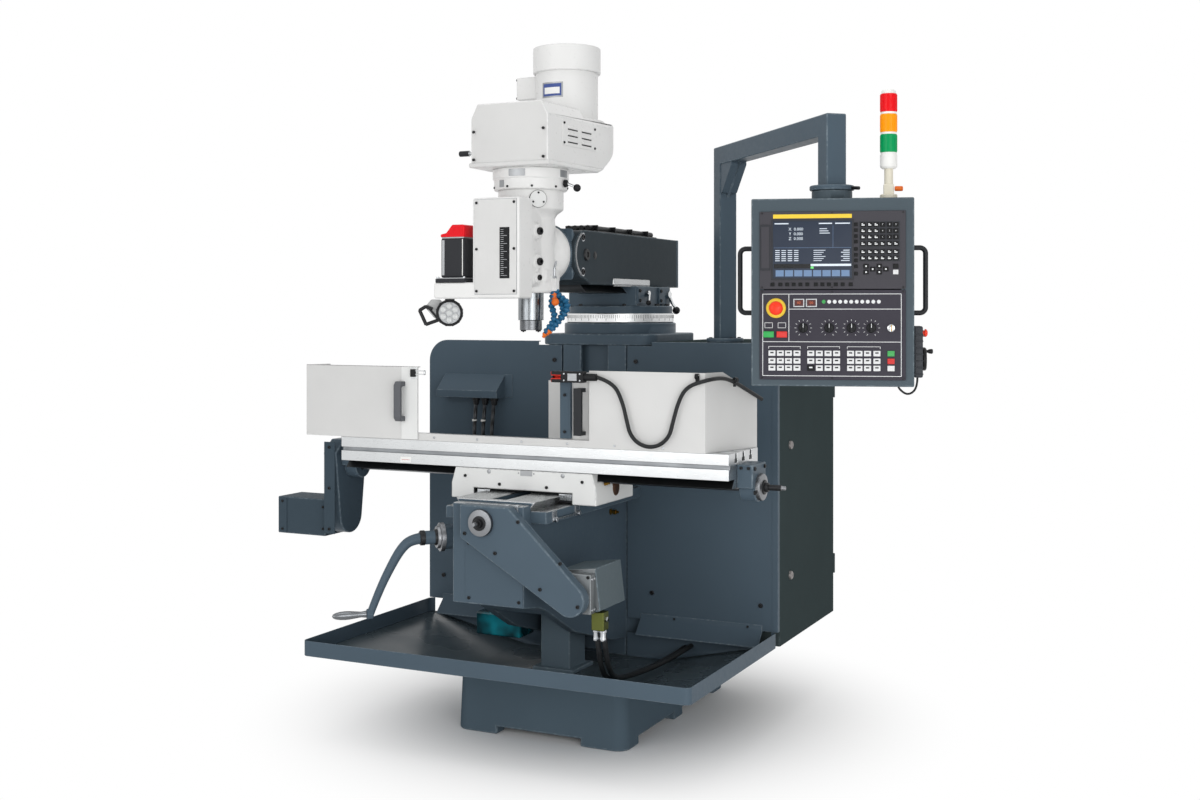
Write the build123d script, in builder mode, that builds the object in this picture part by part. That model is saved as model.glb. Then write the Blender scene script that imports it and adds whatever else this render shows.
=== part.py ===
from build123d import *
import math
import os

os.makedirs("parts", exist_ok=True)

# Gaps: slide_gap between sliding faces, turn_gap around running shafts, free_gap around loose ones
slide_gap = 0.4
turn_gap = 0.05
free_gap = 0.6
sheet = 3.0
cover_wall = 5.0

# Base casting with its feet and levelling holes
base_width = 612
base_length = 870
base_height = 193
base_wall = 34
base_corner = 45
base_draft = 2.5
foot_height = 24
foot_width = 156
foot_depth = 110
middle_foot = 74
pad_size = 120
level_spacing_x = 490
level_spacing_y = 750
level_hole_radius = 9
level_hole_depth = 60

# Coolant tray
tray_width = 1322
tray_front = -780
tray_rear = -26
tray_lip_low = 277
tray_lip_high = 325
tray_corner = 20
sump_width = 570
sump_front = -415

# Column with its way, tongue slot, top flange and turret seat
column_width = 380
column_depth = 385
column_wall = 46
column_top = 1289
column_flange = 430
column_flange_height = 39
column_flange_corner = 60
way_width = 242
way_depth = 24
tongue_neck = 100
tongue_neck_depth = 16
tongue_head = 160
tongue_head_depth = 20
turret_y = 190
seat_radius = 199
seat_height = 37

# Splash panels and chip deflectors
panel_depth = 18
panel_bottom = 324
panel_top = 1263
panel_inner = 125
left_panel_overhang = 7
right_panel_overhang = 2
left_panel_corner = 75
deflector_inner = 175
deflector_inset = 51
deflector_drop = 46
deflector_strip = 20

# Electrical cabinet and its door
cabinet_low = 275
cabinet_rear = 595
barrel_radius = 7
barrel_length = 70
lock_radius = 13
lock_height = 6
lock_y = 100
lock_levels = (491, 923)

# Junction box and hoses on the left panel
junction_left = -600
junction_right = -352
junction_flange = 32
junction_top = 1142
junction_front = -85
junction_edge = 1086
junction_low = 1060
gland_block_top = 640
gland_block_height = 40
hose_radius = 6.5
hose_y = -58
hose_x = (-450, -413, -376)
hose_sway = (5, 8, 5, -2, -3)

# Lift pedestal and screw under the knee
pedestal_width = 106
pedestal_depth = 115
pedestal_setback = 178
pedestal_top = 560
pedestal_flange = 150
pedestal_flange_height = 14
lift_screw_radius = 20
lift_screw_low = 200
lift_collar_radius = 36
lift_collar_height = 16

# Knee
knee_width = 244
knee_front = -750
knee_nose_top = 791
knee_under = ((-750, 490), (-650, 474), (-596, 452), (-413, 353), (-130, 269))
knee_rear_low = 255
knee_flange_width = 348
knee_flange_low = 735
knee_flange_top = 773
knee_flange_front = -706
knee_wall = 32
knee_pocket_front = -560
knee_pocket_rear = -60
knee_pocket_top = 712
knee_way_top = 800
knee_way_low_half = 118
knee_way_top_half = 138
knee_slot_width = 56
knee_slot_front = -690
knee_tongue_low = 280
reservoir_x = (-290, -122)
reservoir_y = (-330, -230)
reservoir_z = (290, 366)

# Cross feed on the knee front
cross_level = 741
cross_screw_radius = 16
cross_screw_rear = -70
cross_journal_radius = 12
cross_cover_depth = 35
cross_cover_left = -77
cross_cover_turn = 88
cross_cover_left_low = 692
cross_end_x = 288
cross_end_z = 535
cross_end_radius = 49
dial_radius = 40
dial_length = 17
dial_shaft_radius = 9
dial_shaft_length = 32
cross_flange_x = (236, 342)
cross_flange_z = (492, 608)
cross_flange_depth = 30
cross_servo_width = 124
cross_servo_height = 124
cross_servo_length = 174
cross_servo_tilt = 7
manifold_x = (325, 365)
manifold_y = (-712, -676)
manifold_z = (439, 494)
knee_hose_radius = 8
knee_hose_pitch = 22
knee_hose_route = (
    (4, 6, 385),
    (-2, 36, 325),
    (-18, 96, 278),
    (-36, 176, 248),
    (-44, 272, 230),
    (-38, 368, 223),
    (-18, 458, 227),
    (2, 545, 238),
)
knee_hose_end = 246

# Lift crank on the knee's left front corner
crank_x = -207
crank_y = -690
crank_z = 671
crank_turn = 45
crank_flange_radius = 42
crank_flange_thick = 14
crank_boss_radius = 38
crank_boss_reach = 150
crank_hub_radius = 21
crank_hub_start = 1
crank_hub_length = 60
crank_shaft_radius = 14
crank_throw = 222
crank_reach = 225
crank_arm_width = 28
crank_arm_thick = 18
crank_pin_radius = 7
grip_radius = 13
grip_neck_radius = 10
grip_length = 104

# Saddle
saddle_width = 514
saddle_top_width = 484
saddle_rear = -266
saddle_slant = 50
saddle_pocket_width = 348
saddle_pocket_top = 808
saddle_pocket_depth = 20
cross_nut_width = 44
cross_nut_length = 60
cross_nut_drop = 25

# Work table
table_length = 1370
table_width = 254
table_rear = -284
table_top = 950
table_thick = 78
table_way_height = 26
table_way_top_half = 80
table_way_low_half = 100
table_channel = 90
slot_neck = 16
slot_neck_depth = 18
slot_head = 27
slot_head_depth = 12
slot_pitch = 63.5
dog_groove_height = 12
dog_groove_depth = 10
dog_groove_level = 905
feed_level = 845
feed_screw_radius = 16
feed_nut_half = 30
feed_nut_length = 80
bracket_thick = 50
bracket_width = 118
bracket_top = 915
bracket_radius = 44
feed_dial_shaft = 82

# Feed belt housing and servo on the left end of the table
housing_thick = 52
housing_top = 932
housing_top_half = 89
housing_shoulder = 890
housing_low_half = 62
housing_low = 672
servo_gap = 10
servo_length = 200
servo_width = 130
servo_z = (601, 727)
servo_neck_radius = 45

# Table guard with its two doors
guard_rail_height = 23
guard_rail_depth = 12
guard_overhang = 3
guard_front_left = 234
guard_front_inset = 72
guard_rear_inset = 2
guard_rear_left = -39
guard_top = 1186
guard_slope_y = -455
guard_rear_top = 1112
guard_rear_left_top = 1140
door_gap = 1.0
left_door_overhang = 138
left_door_length = 444
left_door_z = (952, 1188)
left_return = 30
left_return_y = -455
right_door_x = (133, 470)
right_door_z = (955, 1180)
right_door_setback = 15
channel_width = 36
handle_depth = 34
handle_bar = 12
left_handle_inset = 47
handle_width = 26
left_handle_z = (1011, 1140)
right_handle_offset = 57
right_handle_z = (988, 1132)
key_inset = 28
key_length = 42
key_tongue = 18
key_tongue_width = 14
key_tongue_thick = 4
switch_head_x = (120, 153)
switch_body_right = 230
switch_z = (1150, 1184)
switch_depth = 28
switch_setback = 5
gland_radius = 11
gland_length = 40
conduit_radius = 6
conduit_hang = (
    (50, 14),
    (80, 67),
    (96, 130),
    (106, 168),
    (133, 195),
    (170, 205),
    (207, 195),
    (234, 168),
    (244, 130),
    (262, 67),
    (288, 21),
    (354, 0),
)
conduit_side = ((52, 15), (104, 26), (172, 54), (252, 88))

# Turret saddle and ram
ring_radius = 191
ring_hole = 110
ring_height = 34
turret_radius = 186
turret_disc_height = 25
turret_block_width = 262
turret_block_length = 300
ram_low = 1454
ram_high = 1630
ram_width = 212
ram_rear = 461
ram_pocket_width = 140
ram_pocket_front = -150
ram_wall = 30
ram_cap = 16
ram_way_height = 24
ram_way_top_half = 70
ram_way_low_half = 90
ram_way_front = -268
pivot_y = -300
pivot_z = 1550
pivot_radius = 80
rack_y = (-100, 200)
rack_height = 24
rack_thick = 7
lever_z = 1440
lever_hub_radius = 14
lever_hub_length = 12
lever_arm_radius = 6
lever_drop = 44
lever_knob_radius = 14
cable_tray_width = 120
cable_tray_height = 8
cable_tray_y = (-150, 380)
cable_radius = 10
cable_offsets = (-36, -12, 12, 36)

# Head adapter
tilt_y = -390
adapter_flange = 20
adapter_radius = 98
adapter_half = 92
adapter_sector = 50

# Head
spindle_y = -480
head_low = 1425
head_high = 1745
head_radius = 75
head_top_radius = 103
head_top_low = 1680
head_cap = 45
head_flange_radius = 95
head_flange_depth = 36
head_neck_half = 72
head_neck_low = 1462
head_neck_high = 1668
head_pad_half = 60
head_pad_low = 1445
head_pad_high = 1690
gear_tier = 1779
gear_low_radius = 116
gear_radius = 120
gear_wall = 14
belt_low = 1812
belt_plate = 15
belt_plate_rim = 5
belt_front = -621
belt_front_half = 135
belt_rear_half = 154
belt_front_high = 2009
belt_rear_high = 1979
belt_step_y = -385
belt_wall = 9
belt_crown = 26
belt_underside_y = -310
belt_underside_rise = 70
motor_y = -230
motor_radius = 103
motor_flange_radius = 125
motor_flange_height = 14
cowl_low = 2150
cowl_radius = 112
motor_top = 2235
terminal_x = (-166, -98)
terminal_y = (-275, -185)
terminal_z = (2070, 2145)
drive_half = 81
drive_front = -704
drive_rear = -616
drive_low = 1406
drive_high = 1711
servo_plate_left = -275
servo_plate_top = 1455
quill_servo_x = (-251, -123)
quill_servo_depth = 128
quill_servo_cap_low = 1586
quill_servo_high = 1633
quill_radius = 40
quill_low = 1339
quill_high = 1650
nose_radius = 34.9
nose_low = 1308
spindle_radius = 28
taper_mouth = 15.9
taper_end = 8.9
taper_length = 48
drawbar_radius = 8
drawbar_depth = 140
drive_shaft_radius = 14
drive_shaft_high = 1690
nozzle_radius = 8
nozzle_route = (
    (84, -430, 1440),
    (84, -431, 1398),
    (106, -438, 1380),
    (118, -446, 1354),
    (104, -456, 1326),
    (74, -466, 1304),
    (52, -472, 1286),
)

# Levers and lamp on the head
speed_hub_z = 1765
speed_hub_radius = 12
speed_hub_length = 16
speed_knob_x = 163
speed_knob_z = 1750
speed_knob_radius = 12
brake_y = -560
brake_z = 1865
brake_hub_x = -158
brake_hub_radius = 9
brake_hub_height = 24
brake_grip_x = (-212, -175)
brake_grip_radius = 9
lamp_x = -200
lamp_y = -640
lamp_z = 1362
lamp_radius = 42
lamp_thick = 36
lamp_turn = 26
lamp_neck_radius = 9
lamp_handle_x = -291
lamp_handle_z = 1340
lamp_handle_radius = 8

# Pendant arm and swivel
arm_x = 452
arm_y = 51
arm_end_x = 1004
arm_end_y = -572
arm_tube = 60
arm_wall = 4
arm_top = 1916
arm_gusset = 110
arm_gusset_thick = 10
arm_foot_radius = 62
arm_foot_height = 14
arm_collar_radius = 62
arm_collar_low = 1703
arm_collar_high = 1717

# Pendant case and what is on it
pendant_turn = 16.7
pendant_width = 440
pendant_depth = 160
pendant_low = 1162
pendant_high = 1677
pendant_wall = 4
pendant_collar_radius = 56
plate_width = 394
plate_thick = 5
plate_margin = 18
lower_plate_height = 246
plate_gap = 2
upper_plate_height = 213
window_margin = 12
hand_loop_reach = 42
hand_loop_low = 1363
hand_loop_high = 1543
hand_loop_radius = 7
stack_x = 155
stack_foot_radius = 24
stack_foot_height = 14
stack_block_radius = 17
stack_block_height = 28
stack_pole_radius = 12
stack_pole_height = 44
stack_radius = 23.5
stack_base_height = 38
stack_groove_radius = 22
stack_groove_height = 6
stack_lens_height = 50
stack_cap_radius = 20
stack_cap_height = 11
estop_x = -152
estop_z = 1376
estop_ring_radius = 25
estop_ring_height = 6
estop_stem_radius = 11
estop_head_radius = 19
estop_head_height = 15
estop_travel = 6
knob_z = 1322
knob_x = (-78, -8, 52, 105)
knob_radius = 13
knob_height = 18
knob_shaft_radius = 4
key_switch_x = 158
key_barrel_radius = 10
key_bow_width = 18
key_bow_length = 20
key_bow_thick = 3
push_z = 1304
push_x = (-172, -136)
push_width = 23
push_height = 17
push_proud = 8
push_depth = 20
pulse_z = (1186, 1327)
pulse_y = (-50, 40)
pulse_reach = 26
pulse_wheel_z = 1236
pulse_wheel_radius = 32
pulse_wheel_thick = 10
pulse_crank_radius = 5
pulse_crank_length = 16
pulse_crank_offset = 22
pulse_knob_z = 1306
pulse_knob_radius = 11
pulse_knob_height = 14
pulse_cable_radius = 3

# Sizes that follow from the ones above
left_panel_outer = tray_width / 2 + left_panel_overhang
right_panel_outer = tray_width / 2 + right_panel_overhang
deflector_outer = tray_width / 2 - deflector_inset
cabinet_side = right_panel_outer - sheet
pedestal_y = pedestal_setback - base_length / 2
guard_front_right = table_length / 2 - guard_front_inset
guard_rear_right = table_length / 2 - guard_rear_inset
left_door_left = -table_length / 2 - left_door_overhang
left_door_x = (left_door_left, left_door_left + left_door_length)
left_return_x = left_door_left + left_return
left_handle_x = (left_door_x[1] - left_handle_inset - handle_width, left_door_x[1] - left_handle_inset)
right_handle_x = (right_door_x[0] + right_handle_offset, right_door_x[0] + right_handle_offset + handle_width)
key_x = (left_door_x[1] - key_inset, left_door_x[1] - key_inset + key_length)
lower_plate_z = (pendant_low + plate_margin, pendant_low + plate_margin + lower_plate_height)
upper_plate_z = (lower_plate_z[1] + plate_gap, lower_plate_z[1] + plate_gap + upper_plate_height)
hand_loop_z = (hand_loop_low, hand_loop_high)
stack_steps = [
    (stack_foot_radius, stack_foot_height),
    (stack_block_radius, stack_block_height),
    (stack_pole_radius, stack_pole_height),
    (stack_radius, stack_base_height),
    *[(stack_groove_radius, stack_groove_height), (stack_radius, stack_lens_height)] * 3,
    (stack_cap_radius, stack_cap_height),
]
panel_front = -way_depth
cabinet_front = panel_front + panel_depth
cabinet_inner = column_flange / 2 + free_gap
table_bottom = table_top - table_thick
table_front = table_rear - table_width
table_y = table_rear - table_width / 2
saddle_front = table_front
saddle_low = knee_flange_top + slide_gap
saddle_high = table_bottom - slide_gap
knee_rear = panel_front - slide_gap
guard_front = table_front - guard_overhang
door_front = guard_front - door_gap - sheet
right_door_front = guard_front + right_door_setback
switch_rear = door_front - switch_setback + sheet
feed_end = table_length / 2 + bracket_thick
housing_left = -feed_end - housing_thick
servo_right = housing_left - servo_gap
ring_low = column_top + seat_height + slide_gap
turret_low = ring_low + ring_height
turret_high = ram_low - slide_gap
belt_body_low = belt_low + belt_plate
cross_front = knee_front - cross_cover_depth
gear_high = belt_low
crank_out = Vector(-math.sin(math.radians(crank_turn)), -math.cos(math.radians(crank_turn)), 0)
arm_run = Vector(arm_end_x - arm_x, arm_end_y - arm_y, 0)
arm_length = arm_run.length
pendant_x_dir = (math.cos(math.radians(pendant_turn)), math.sin(math.radians(pendant_turn)), 0)
pendant_plane = Plane(origin=(arm_end_x, arm_end_y, 0), x_dir=pendant_x_dir, z_dir=(0, 0, 1))
pendant_face = -pendant_depth / 2
plate_face = pendant_face - plate_thick
pendant_front = Plane(
    origin=pendant_plane.from_local_coords((0, plate_face, 0)),
    x_dir=pendant_x_dir,
    z_dir=-pendant_plane.y_dir,
)
pendant_side = Plane(
    origin=pendant_plane.from_local_coords((pendant_width / 2, 0, 0)),
    x_dir=pendant_plane.y_dir,
    z_dir=pendant_plane.x_dir,
)


def front_plane(y):
    """The upright plane at this depth, looking at the front: x to the right, y up."""
    return Plane.XZ.offset(-y)


def side_plane(x):
    """The upright plane at this width, looking from the right: x to the rear, y up."""
    return Plane.YZ.offset(x)


def middle(pair):
    """The middle of a low and a high value."""
    return (pair[0] + pair[1]) / 2


def block(x, y, z, plane=Plane.XY, mode=Mode.ADD):
    """A box between the low and high values on each axis of a plane."""
    with BuildSketch(plane.offset(z[0])) as outline:
        with Locations((middle(x), middle(y))):
            Rectangle(x[1] - x[0], y[1] - y[0])
    extrude(outline.sketch, amount=z[1] - z[0], mode=mode)


def rod(plane, centre, radius, length, mode=Mode.ADD):
    """A cylinder standing on a plane."""
    with BuildSketch(plane) as outline:
        with Locations(centre):
            Circle(radius)
    extrude(outline.sketch, amount=length, mode=mode)


def prism(plane, points, length, mode=Mode.ADD, both=False):
    """A straight-sided shape drawn on a plane and drawn out from it."""
    with BuildSketch(plane) as outline:
        Polygon(*points, align=None)
    extrude(outline.sketch, amount=length, both=both, mode=mode)


def tube(points, radius, mode=Mode.ADD):
    """A round bar or hose along a route of straight runs and tangent bends."""
    route = [Vector(p) for p in points]
    radii = []
    for before, here, after in zip(route, route[1:], route[2:]):
        turn = (here - before).get_angle(after - here)
        shorter = min((here - before).length, (after - here).length)
        radii.append(0.45 * shorter / math.tan(math.radians(turn / 2)))
    with BuildLine() as line:
        if radii:
            FilletPolyline(*route, radius=radii)
        else:
            Line(*route)
    with BuildSketch(Plane(origin=route[0], z_dir=route[1] - route[0])) as section:
        Circle(radius)
    sweep(section.sketch, path=line.wire(), mode=mode)
    return round(line.wire().length, 1), [round(radius, 1) for radius in radii]


def bow_handle(x, z, back):
    """A grip bar held off a sheet by two feet."""
    block(x, (back - handle_depth, back - handle_depth + handle_bar), z)
    for level in (z[0], z[1] - handle_bar):
        block(x, (back - handle_depth, back), (level, level + handle_bar))


with BuildPart() as base_casting:
    with BuildSketch(Plane.XY):
        RectangleRounded(base_width, base_length, base_corner)
    extrude(amount=base_height, taper=base_draft)
    # the hollow leaves the walls, the top plate and a pad in each corner
    with BuildSketch(Plane.XY):
        Rectangle(base_width - 2 * base_wall - base_corner, base_length - 2 * base_wall - base_corner)
        with GridLocations(level_spacing_x, level_spacing_y, 2, 2):
            Rectangle(pad_size, pad_size, mode=Mode.SUBTRACT)
    extrude(amount=base_height - base_wall, mode=Mode.SUBTRACT)
    with BuildSketch(Plane.XY):
        Rectangle(base_width - 2 * foot_width, base_length + base_wall)
        with GridLocations(0, base_length / 2 - foot_depth + middle_foot / 2, 1, 2):
            Rectangle(base_width + base_wall, base_length / 2 - foot_depth - middle_foot / 2)
    extrude(amount=foot_height, mode=Mode.SUBTRACT)
    with BuildSketch(Plane.XY):
        with GridLocations(level_spacing_x, level_spacing_y, 2, 2):
            Circle(level_hole_radius)
    extrude(amount=level_hole_depth, mode=Mode.SUBTRACT)
    # room under the pedestal for the lower end of the lift screw
    rod(Plane.XY.offset(base_height - base_wall), (0, pedestal_y), lift_screw_radius + cover_wall,
        base_wall,
        Mode.SUBTRACT)

with BuildPart() as coolant_tray:
    for rise, mode in ((0, Mode.ADD), (sheet, Mode.SUBTRACT)):
        for level, width, front in (
            (tray_lip_low, tray_width, tray_front),
            (base_height, sump_width, sump_front),
        ):
            rear = tray_rear - rise
            with BuildSketch(Plane.XY.offset(level + rise)):
                with Locations((0, (front + rear) / 2)):
                    RectangleRounded(width, rear - front, tray_corner)
        loft(ruled=True, mode=mode)
    with BuildSketch(Plane.XY.offset(tray_lip_low)):
        with Locations((0, (tray_front + tray_rear) / 2)):
            RectangleRounded(tray_width, tray_rear - tray_front, tray_corner)
            RectangleRounded(tray_width - 2 * sheet, tray_rear - tray_front - 2 * sheet,
                             tray_corner - sheet,
                             mode=Mode.SUBTRACT)
    extrude(amount=tray_lip_high - tray_lip_low)
    # the rear is open above the floor, where the panels and deflectors drain
    block((tray_corner - tray_width / 2, tray_width / 2 - tray_corner), (tray_rear - sheet, tray_rear),
          (tray_lip_low, tray_lip_high), mode=Mode.SUBTRACT)
    # the knee's way up and down along the column
    block((-knee_width / 2 - cover_wall, knee_width / 2 + cover_wall), (tray_rear - sheet, tray_rear),
          (base_height + sheet, tray_lip_low), mode=Mode.SUBTRACT)
    block((-pedestal_flange / 2 - free_gap, pedestal_flange / 2 + free_gap),
          (pedestal_y - pedestal_flange / 2 - free_gap, pedestal_y + pedestal_flange / 2 + free_gap),
          (base_height, base_height + sheet), mode=Mode.SUBTRACT)

with BuildPart() as column_casting:
    block((-column_width / 2, column_width / 2), (0, column_depth),
          (base_height, column_top - column_flange_height))
    block((-way_width / 2, way_width / 2), (-way_depth, 0),
          (base_height, column_top - column_flange_height))
    with BuildSketch(Plane.XY.offset(column_top - column_flange_height)):
        with Locations((0, turret_y)):
            RectangleRounded(column_flange, column_flange, column_flange_corner)
    extrude(amount=column_flange_height)
    rod(Plane.XY.offset(column_top), (0, turret_y), seat_radius, seat_height)
    # the hollow is open below, where the column stands on the base
    block((column_wall - column_width / 2, column_width / 2 - column_wall),
          (column_wall, column_depth - column_wall),
          (base_height, column_top - column_flange_height - column_wall), mode=Mode.SUBTRACT)
    neck_rear = tongue_neck_depth - way_depth
    for half, low, high in (
        (tongue_neck / 2, -way_depth, neck_rear),
        (tongue_head / 2, neck_rear, neck_rear + tongue_head_depth),
    ):
        block((-half, half), (low, high), (base_height, column_top - column_flange_height),
              mode=Mode.SUBTRACT)

with BuildPart() as splash_panels:
    for left, right, corner in (
        (-left_panel_outer, -panel_inner, left_panel_corner),
        (panel_inner, right_panel_outer, 0),
    ):
        # a pan of folded sheet, open at the rear
        for inset, depth, mode in ((0, panel_depth, Mode.ADD),
                                   (sheet, panel_depth - sheet, Mode.SUBTRACT)):
            with BuildSketch(front_plane(panel_front + panel_depth)) as outline:
                with Locations(((left + right) / 2, (panel_bottom + panel_top) / 2)):
                    Rectangle(right - left - 2 * inset, panel_top - panel_bottom - 2 * inset)
                if corner:
                    fillet(outline.vertices().group_by(Axis.X)[0].sort_by(Axis.Y)[-1], corner - inset)
            extrude(outline.sketch, amount=depth, mode=mode)
    # both panels step down beside the column's top flange
    block((-cabinet_inner, cabinet_inner), (panel_front, panel_front + panel_depth),
          (column_top - column_flange_height - free_gap, panel_top), mode=Mode.SUBTRACT)
    for left in (deflector_inner, -deflector_outer):
        prism(side_plane(left), (
            (panel_front, panel_bottom + deflector_strip),
            (panel_front - sheet, panel_bottom + deflector_strip),
            (panel_front - sheet, panel_bottom),
            (panel_front - deflector_drop, panel_bottom - deflector_drop + sheet),
            (panel_front - deflector_drop, panel_bottom - deflector_drop - sheet / 2),
            (panel_front, panel_bottom - sheet / 2),
        ), deflector_outer - deflector_inner)

with BuildPart() as electrical_cabinet:
    block((cabinet_inner, cabinet_side), (cabinet_front, cabinet_rear), (cabinet_low, panel_top))
    block((cabinet_inner + sheet, cabinet_side), (cabinet_front + sheet, cabinet_rear - sheet),
          (cabinet_low + sheet, panel_top - sheet), mode=Mode.SUBTRACT)

with BuildPart() as cabinet_door:
    door_x = (cabinet_side + slide_gap, cabinet_side + slide_gap + sheet)
    barrel_y = cabinet_rear + barrel_radius + sheet
    block(door_x, (cabinet_front, barrel_y), (cabinet_low, panel_top))
    for level in (cabinet_low + 2 * barrel_length, panel_top - 3 * barrel_length):
        rod(Plane.XY.offset(level), (middle(door_x), barrel_y), barrel_radius, barrel_length)
    for level in lock_levels:
        rod(side_plane(door_x[1]), (lock_y, level), lock_radius, lock_height)

with BuildPart() as junction_box:
    prism(side_plane(junction_left), (
        (panel_front, junction_top),
        (junction_front, junction_edge),
        (junction_front, junction_low),
        (panel_front, junction_low - sheet),
    ), junction_right - junction_left)
    block((junction_right, junction_right + junction_flange), (panel_front - sheet, panel_front),
          (junction_low, junction_top))
    block((hose_x[0] - gland_block_height, hose_x[-1] + gland_block_height),
          (junction_front, panel_front),
          (gland_block_top - gland_block_height, gland_block_top))

with BuildPart() as junction_hoses:
    for number, x in enumerate(hose_x):
        run = (junction_low - sheet - gland_block_top) / (len(hose_sway) + 1)
        route = [(x, hose_y, junction_low - 2 * sheet)]
        for step, sway in enumerate(hose_sway):
            route.append((x - sway * (1 + number / 5), hose_y - sway / 5, route[0][2] - (step + 1) * run))
        route.append((x, hose_y, gland_block_top + sheet))
        print("junction hose", number, tube(route, hose_radius))

with BuildPart() as lift_pedestal:
    for half_x, half_y, high in (
        (pedestal_flange / 2, pedestal_flange / 2, base_height + pedestal_flange_height),
        (pedestal_width / 2, pedestal_depth / 2, pedestal_top),
    ):
        block((-half_x, half_x), (pedestal_y - half_y, pedestal_y + half_y), (base_height, high))
    rod(Plane.XY.offset(base_height), (0, pedestal_y), lift_screw_radius + free_gap,
        pedestal_top - base_height,
        Mode.SUBTRACT)

crank_plane = Plane(origin=(crank_x, crank_y, crank_z), x_dir=(0, 0, -1), z_dir=crank_out)

with BuildPart() as knee_casting:
    prism(Plane.YZ, ((knee_front, knee_nose_top),) + knee_under + (
        (knee_rear, knee_rear_low),
        (knee_rear, knee_flange_top),
        (knee_flange_front, knee_flange_top),
        (knee_flange_front, knee_nose_top),
    ), knee_width / 2, both=True)
    block((-knee_flange_width / 2, knee_flange_width / 2), (knee_flange_front, knee_rear),
          (knee_flange_low, knee_flange_top))
    prism(front_plane(knee_rear), (
        (-knee_way_low_half, knee_flange_top),
        (knee_way_low_half, knee_flange_top),
        (knee_way_top_half, knee_way_top),
        (-knee_way_top_half, knee_way_top),
    ), knee_rear - knee_flange_front)
    # round boss that carries the crank shaft out at the corner
    rod(crank_plane.offset(-crank_flange_thick), (0, 0), crank_boss_radius, -crank_boss_reach)
    rod(crank_plane, (0, 0), crank_flange_radius, -crank_flange_thick)
    rod(crank_plane, (0, 0), crank_shaft_radius + free_gap, -crank_hub_length, Mode.SUBTRACT)
    # the pocket is open below for the pedestal and has a slot above for the cross screw and its nut
    pocket_half = knee_width / 2 - knee_wall
    block((-pocket_half, pocket_half), (knee_pocket_front, knee_pocket_rear),
          (base_height, knee_pocket_top),
          mode=Mode.SUBTRACT)
    block((-knee_slot_width / 2, knee_slot_width / 2), (knee_slot_front, knee_pocket_rear),
          (cross_level - cross_nut_drop - free_gap, knee_way_top), mode=Mode.SUBTRACT)
    rod(front_plane(knee_slot_front), (0, cross_level), cross_screw_radius + free_gap,
        knee_slot_front - knee_front,
        Mode.SUBTRACT)
    # tongue that runs in the column's slot
    neck_rear = tongue_neck_depth - way_depth
    for half, low, high in (
        (tongue_neck / 2, knee_rear, neck_rear + slide_gap),
        (tongue_head / 2, neck_rear + slide_gap, neck_rear + tongue_head_depth - slide_gap),
    ):
        block((slide_gap - half, half - slide_gap), (low, high), (knee_tongue_low, knee_flange_low))

with BuildPart() as oil_reservoir:
    block(reservoir_x, reservoir_y, reservoir_z)

with BuildPart() as lift_screw:
    collar_top = knee_pocket_top - slide_gap
    rod(Plane.XY.offset(lift_screw_low), (0, pedestal_y), lift_screw_radius, collar_top - lift_screw_low)
    rod(Plane.XY.offset(collar_top - lift_collar_height), (0, pedestal_y), lift_collar_radius,
        lift_collar_height)

with BuildPart() as cross_belt_cover:
    # outline of the cover, then the pocket that leaves it open at the back
    for inset, depth, mode in ((0, cross_cover_depth, Mode.ADD),
                               (cover_wall, cross_cover_depth - cover_wall, Mode.SUBTRACT)):
        with BuildSketch(front_plane(knee_front)) as outline:
            with BuildLine():
                Line((cross_cover_left + inset, cross_cover_left_low + inset),
                     (cross_cover_left + inset, knee_nose_top - inset))
                Line((cross_cover_left + inset, knee_nose_top - inset),
                     (cross_cover_turn - inset / 2, knee_nose_top - inset))
            with Locations((cross_end_x, cross_end_z)):
                Circle(cross_end_radius - inset)
            make_hull()
        extrude(outline.sketch, amount=depth, mode=mode)
    rod(front_plane(knee_front), (0, cross_level), cross_journal_radius + free_gap, cross_cover_depth,
        Mode.SUBTRACT)

cross_servo_front = knee_front + cross_flange_depth

with BuildPart() as cross_servo:
    block(cross_flange_x, (knee_front, cross_servo_front), cross_flange_z)
    with BuildSketch(front_plane(cross_servo_front + cross_servo_length)) as outline:
        with Locations((middle(cross_flange_x), middle(cross_flange_z) + sheet)):
            Rectangle(cross_servo_width, cross_servo_height, rotation=cross_servo_tilt)
    extrude(outline.sketch, amount=cross_servo_length)
    block(manifold_x, manifold_y, manifold_z)

with BuildPart() as knee_hoses:
    for number in (0, 1):
        shift = number * knee_hose_pitch
        x = manifold_x[0] + knee_hose_radius + shift
        y = middle(manifold_y)
        route = [(x, y, manifold_z[0] - sheet)]
        for aside, back, level in knee_hose_route:
            route.append((x + aside, y + back, level + shift / 3))
        route.append((x + knee_hose_radius, tray_rear - 2 * sheet, knee_hose_end + shift / 3))
        print("knee hose", number, tube(route, knee_hose_radius))

with BuildPart() as cross_screw:
    dial_front = cross_front - slide_gap - dial_length
    rod(front_plane(cross_screw_rear), (0, cross_level), cross_screw_radius,
        cross_screw_rear - knee_front)
    rod(front_plane(knee_front), (0, cross_level), cross_journal_radius, knee_front - dial_front)
    rod(front_plane(cross_front - slide_gap), (0, cross_level), dial_radius, dial_length)
    rod(front_plane(dial_front), (0, cross_level), dial_shaft_radius, dial_shaft_length)

# The crank arm lies in the plane of its shaft and its throw
throw_dir = Vector(0, 0, -1)
arm_plane = Plane(origin=(crank_x, crank_y, crank_z), x_dir=throw_dir, z_dir=throw_dir.cross(crank_out))
pin_plane = crank_plane.offset(crank_reach)

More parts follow.
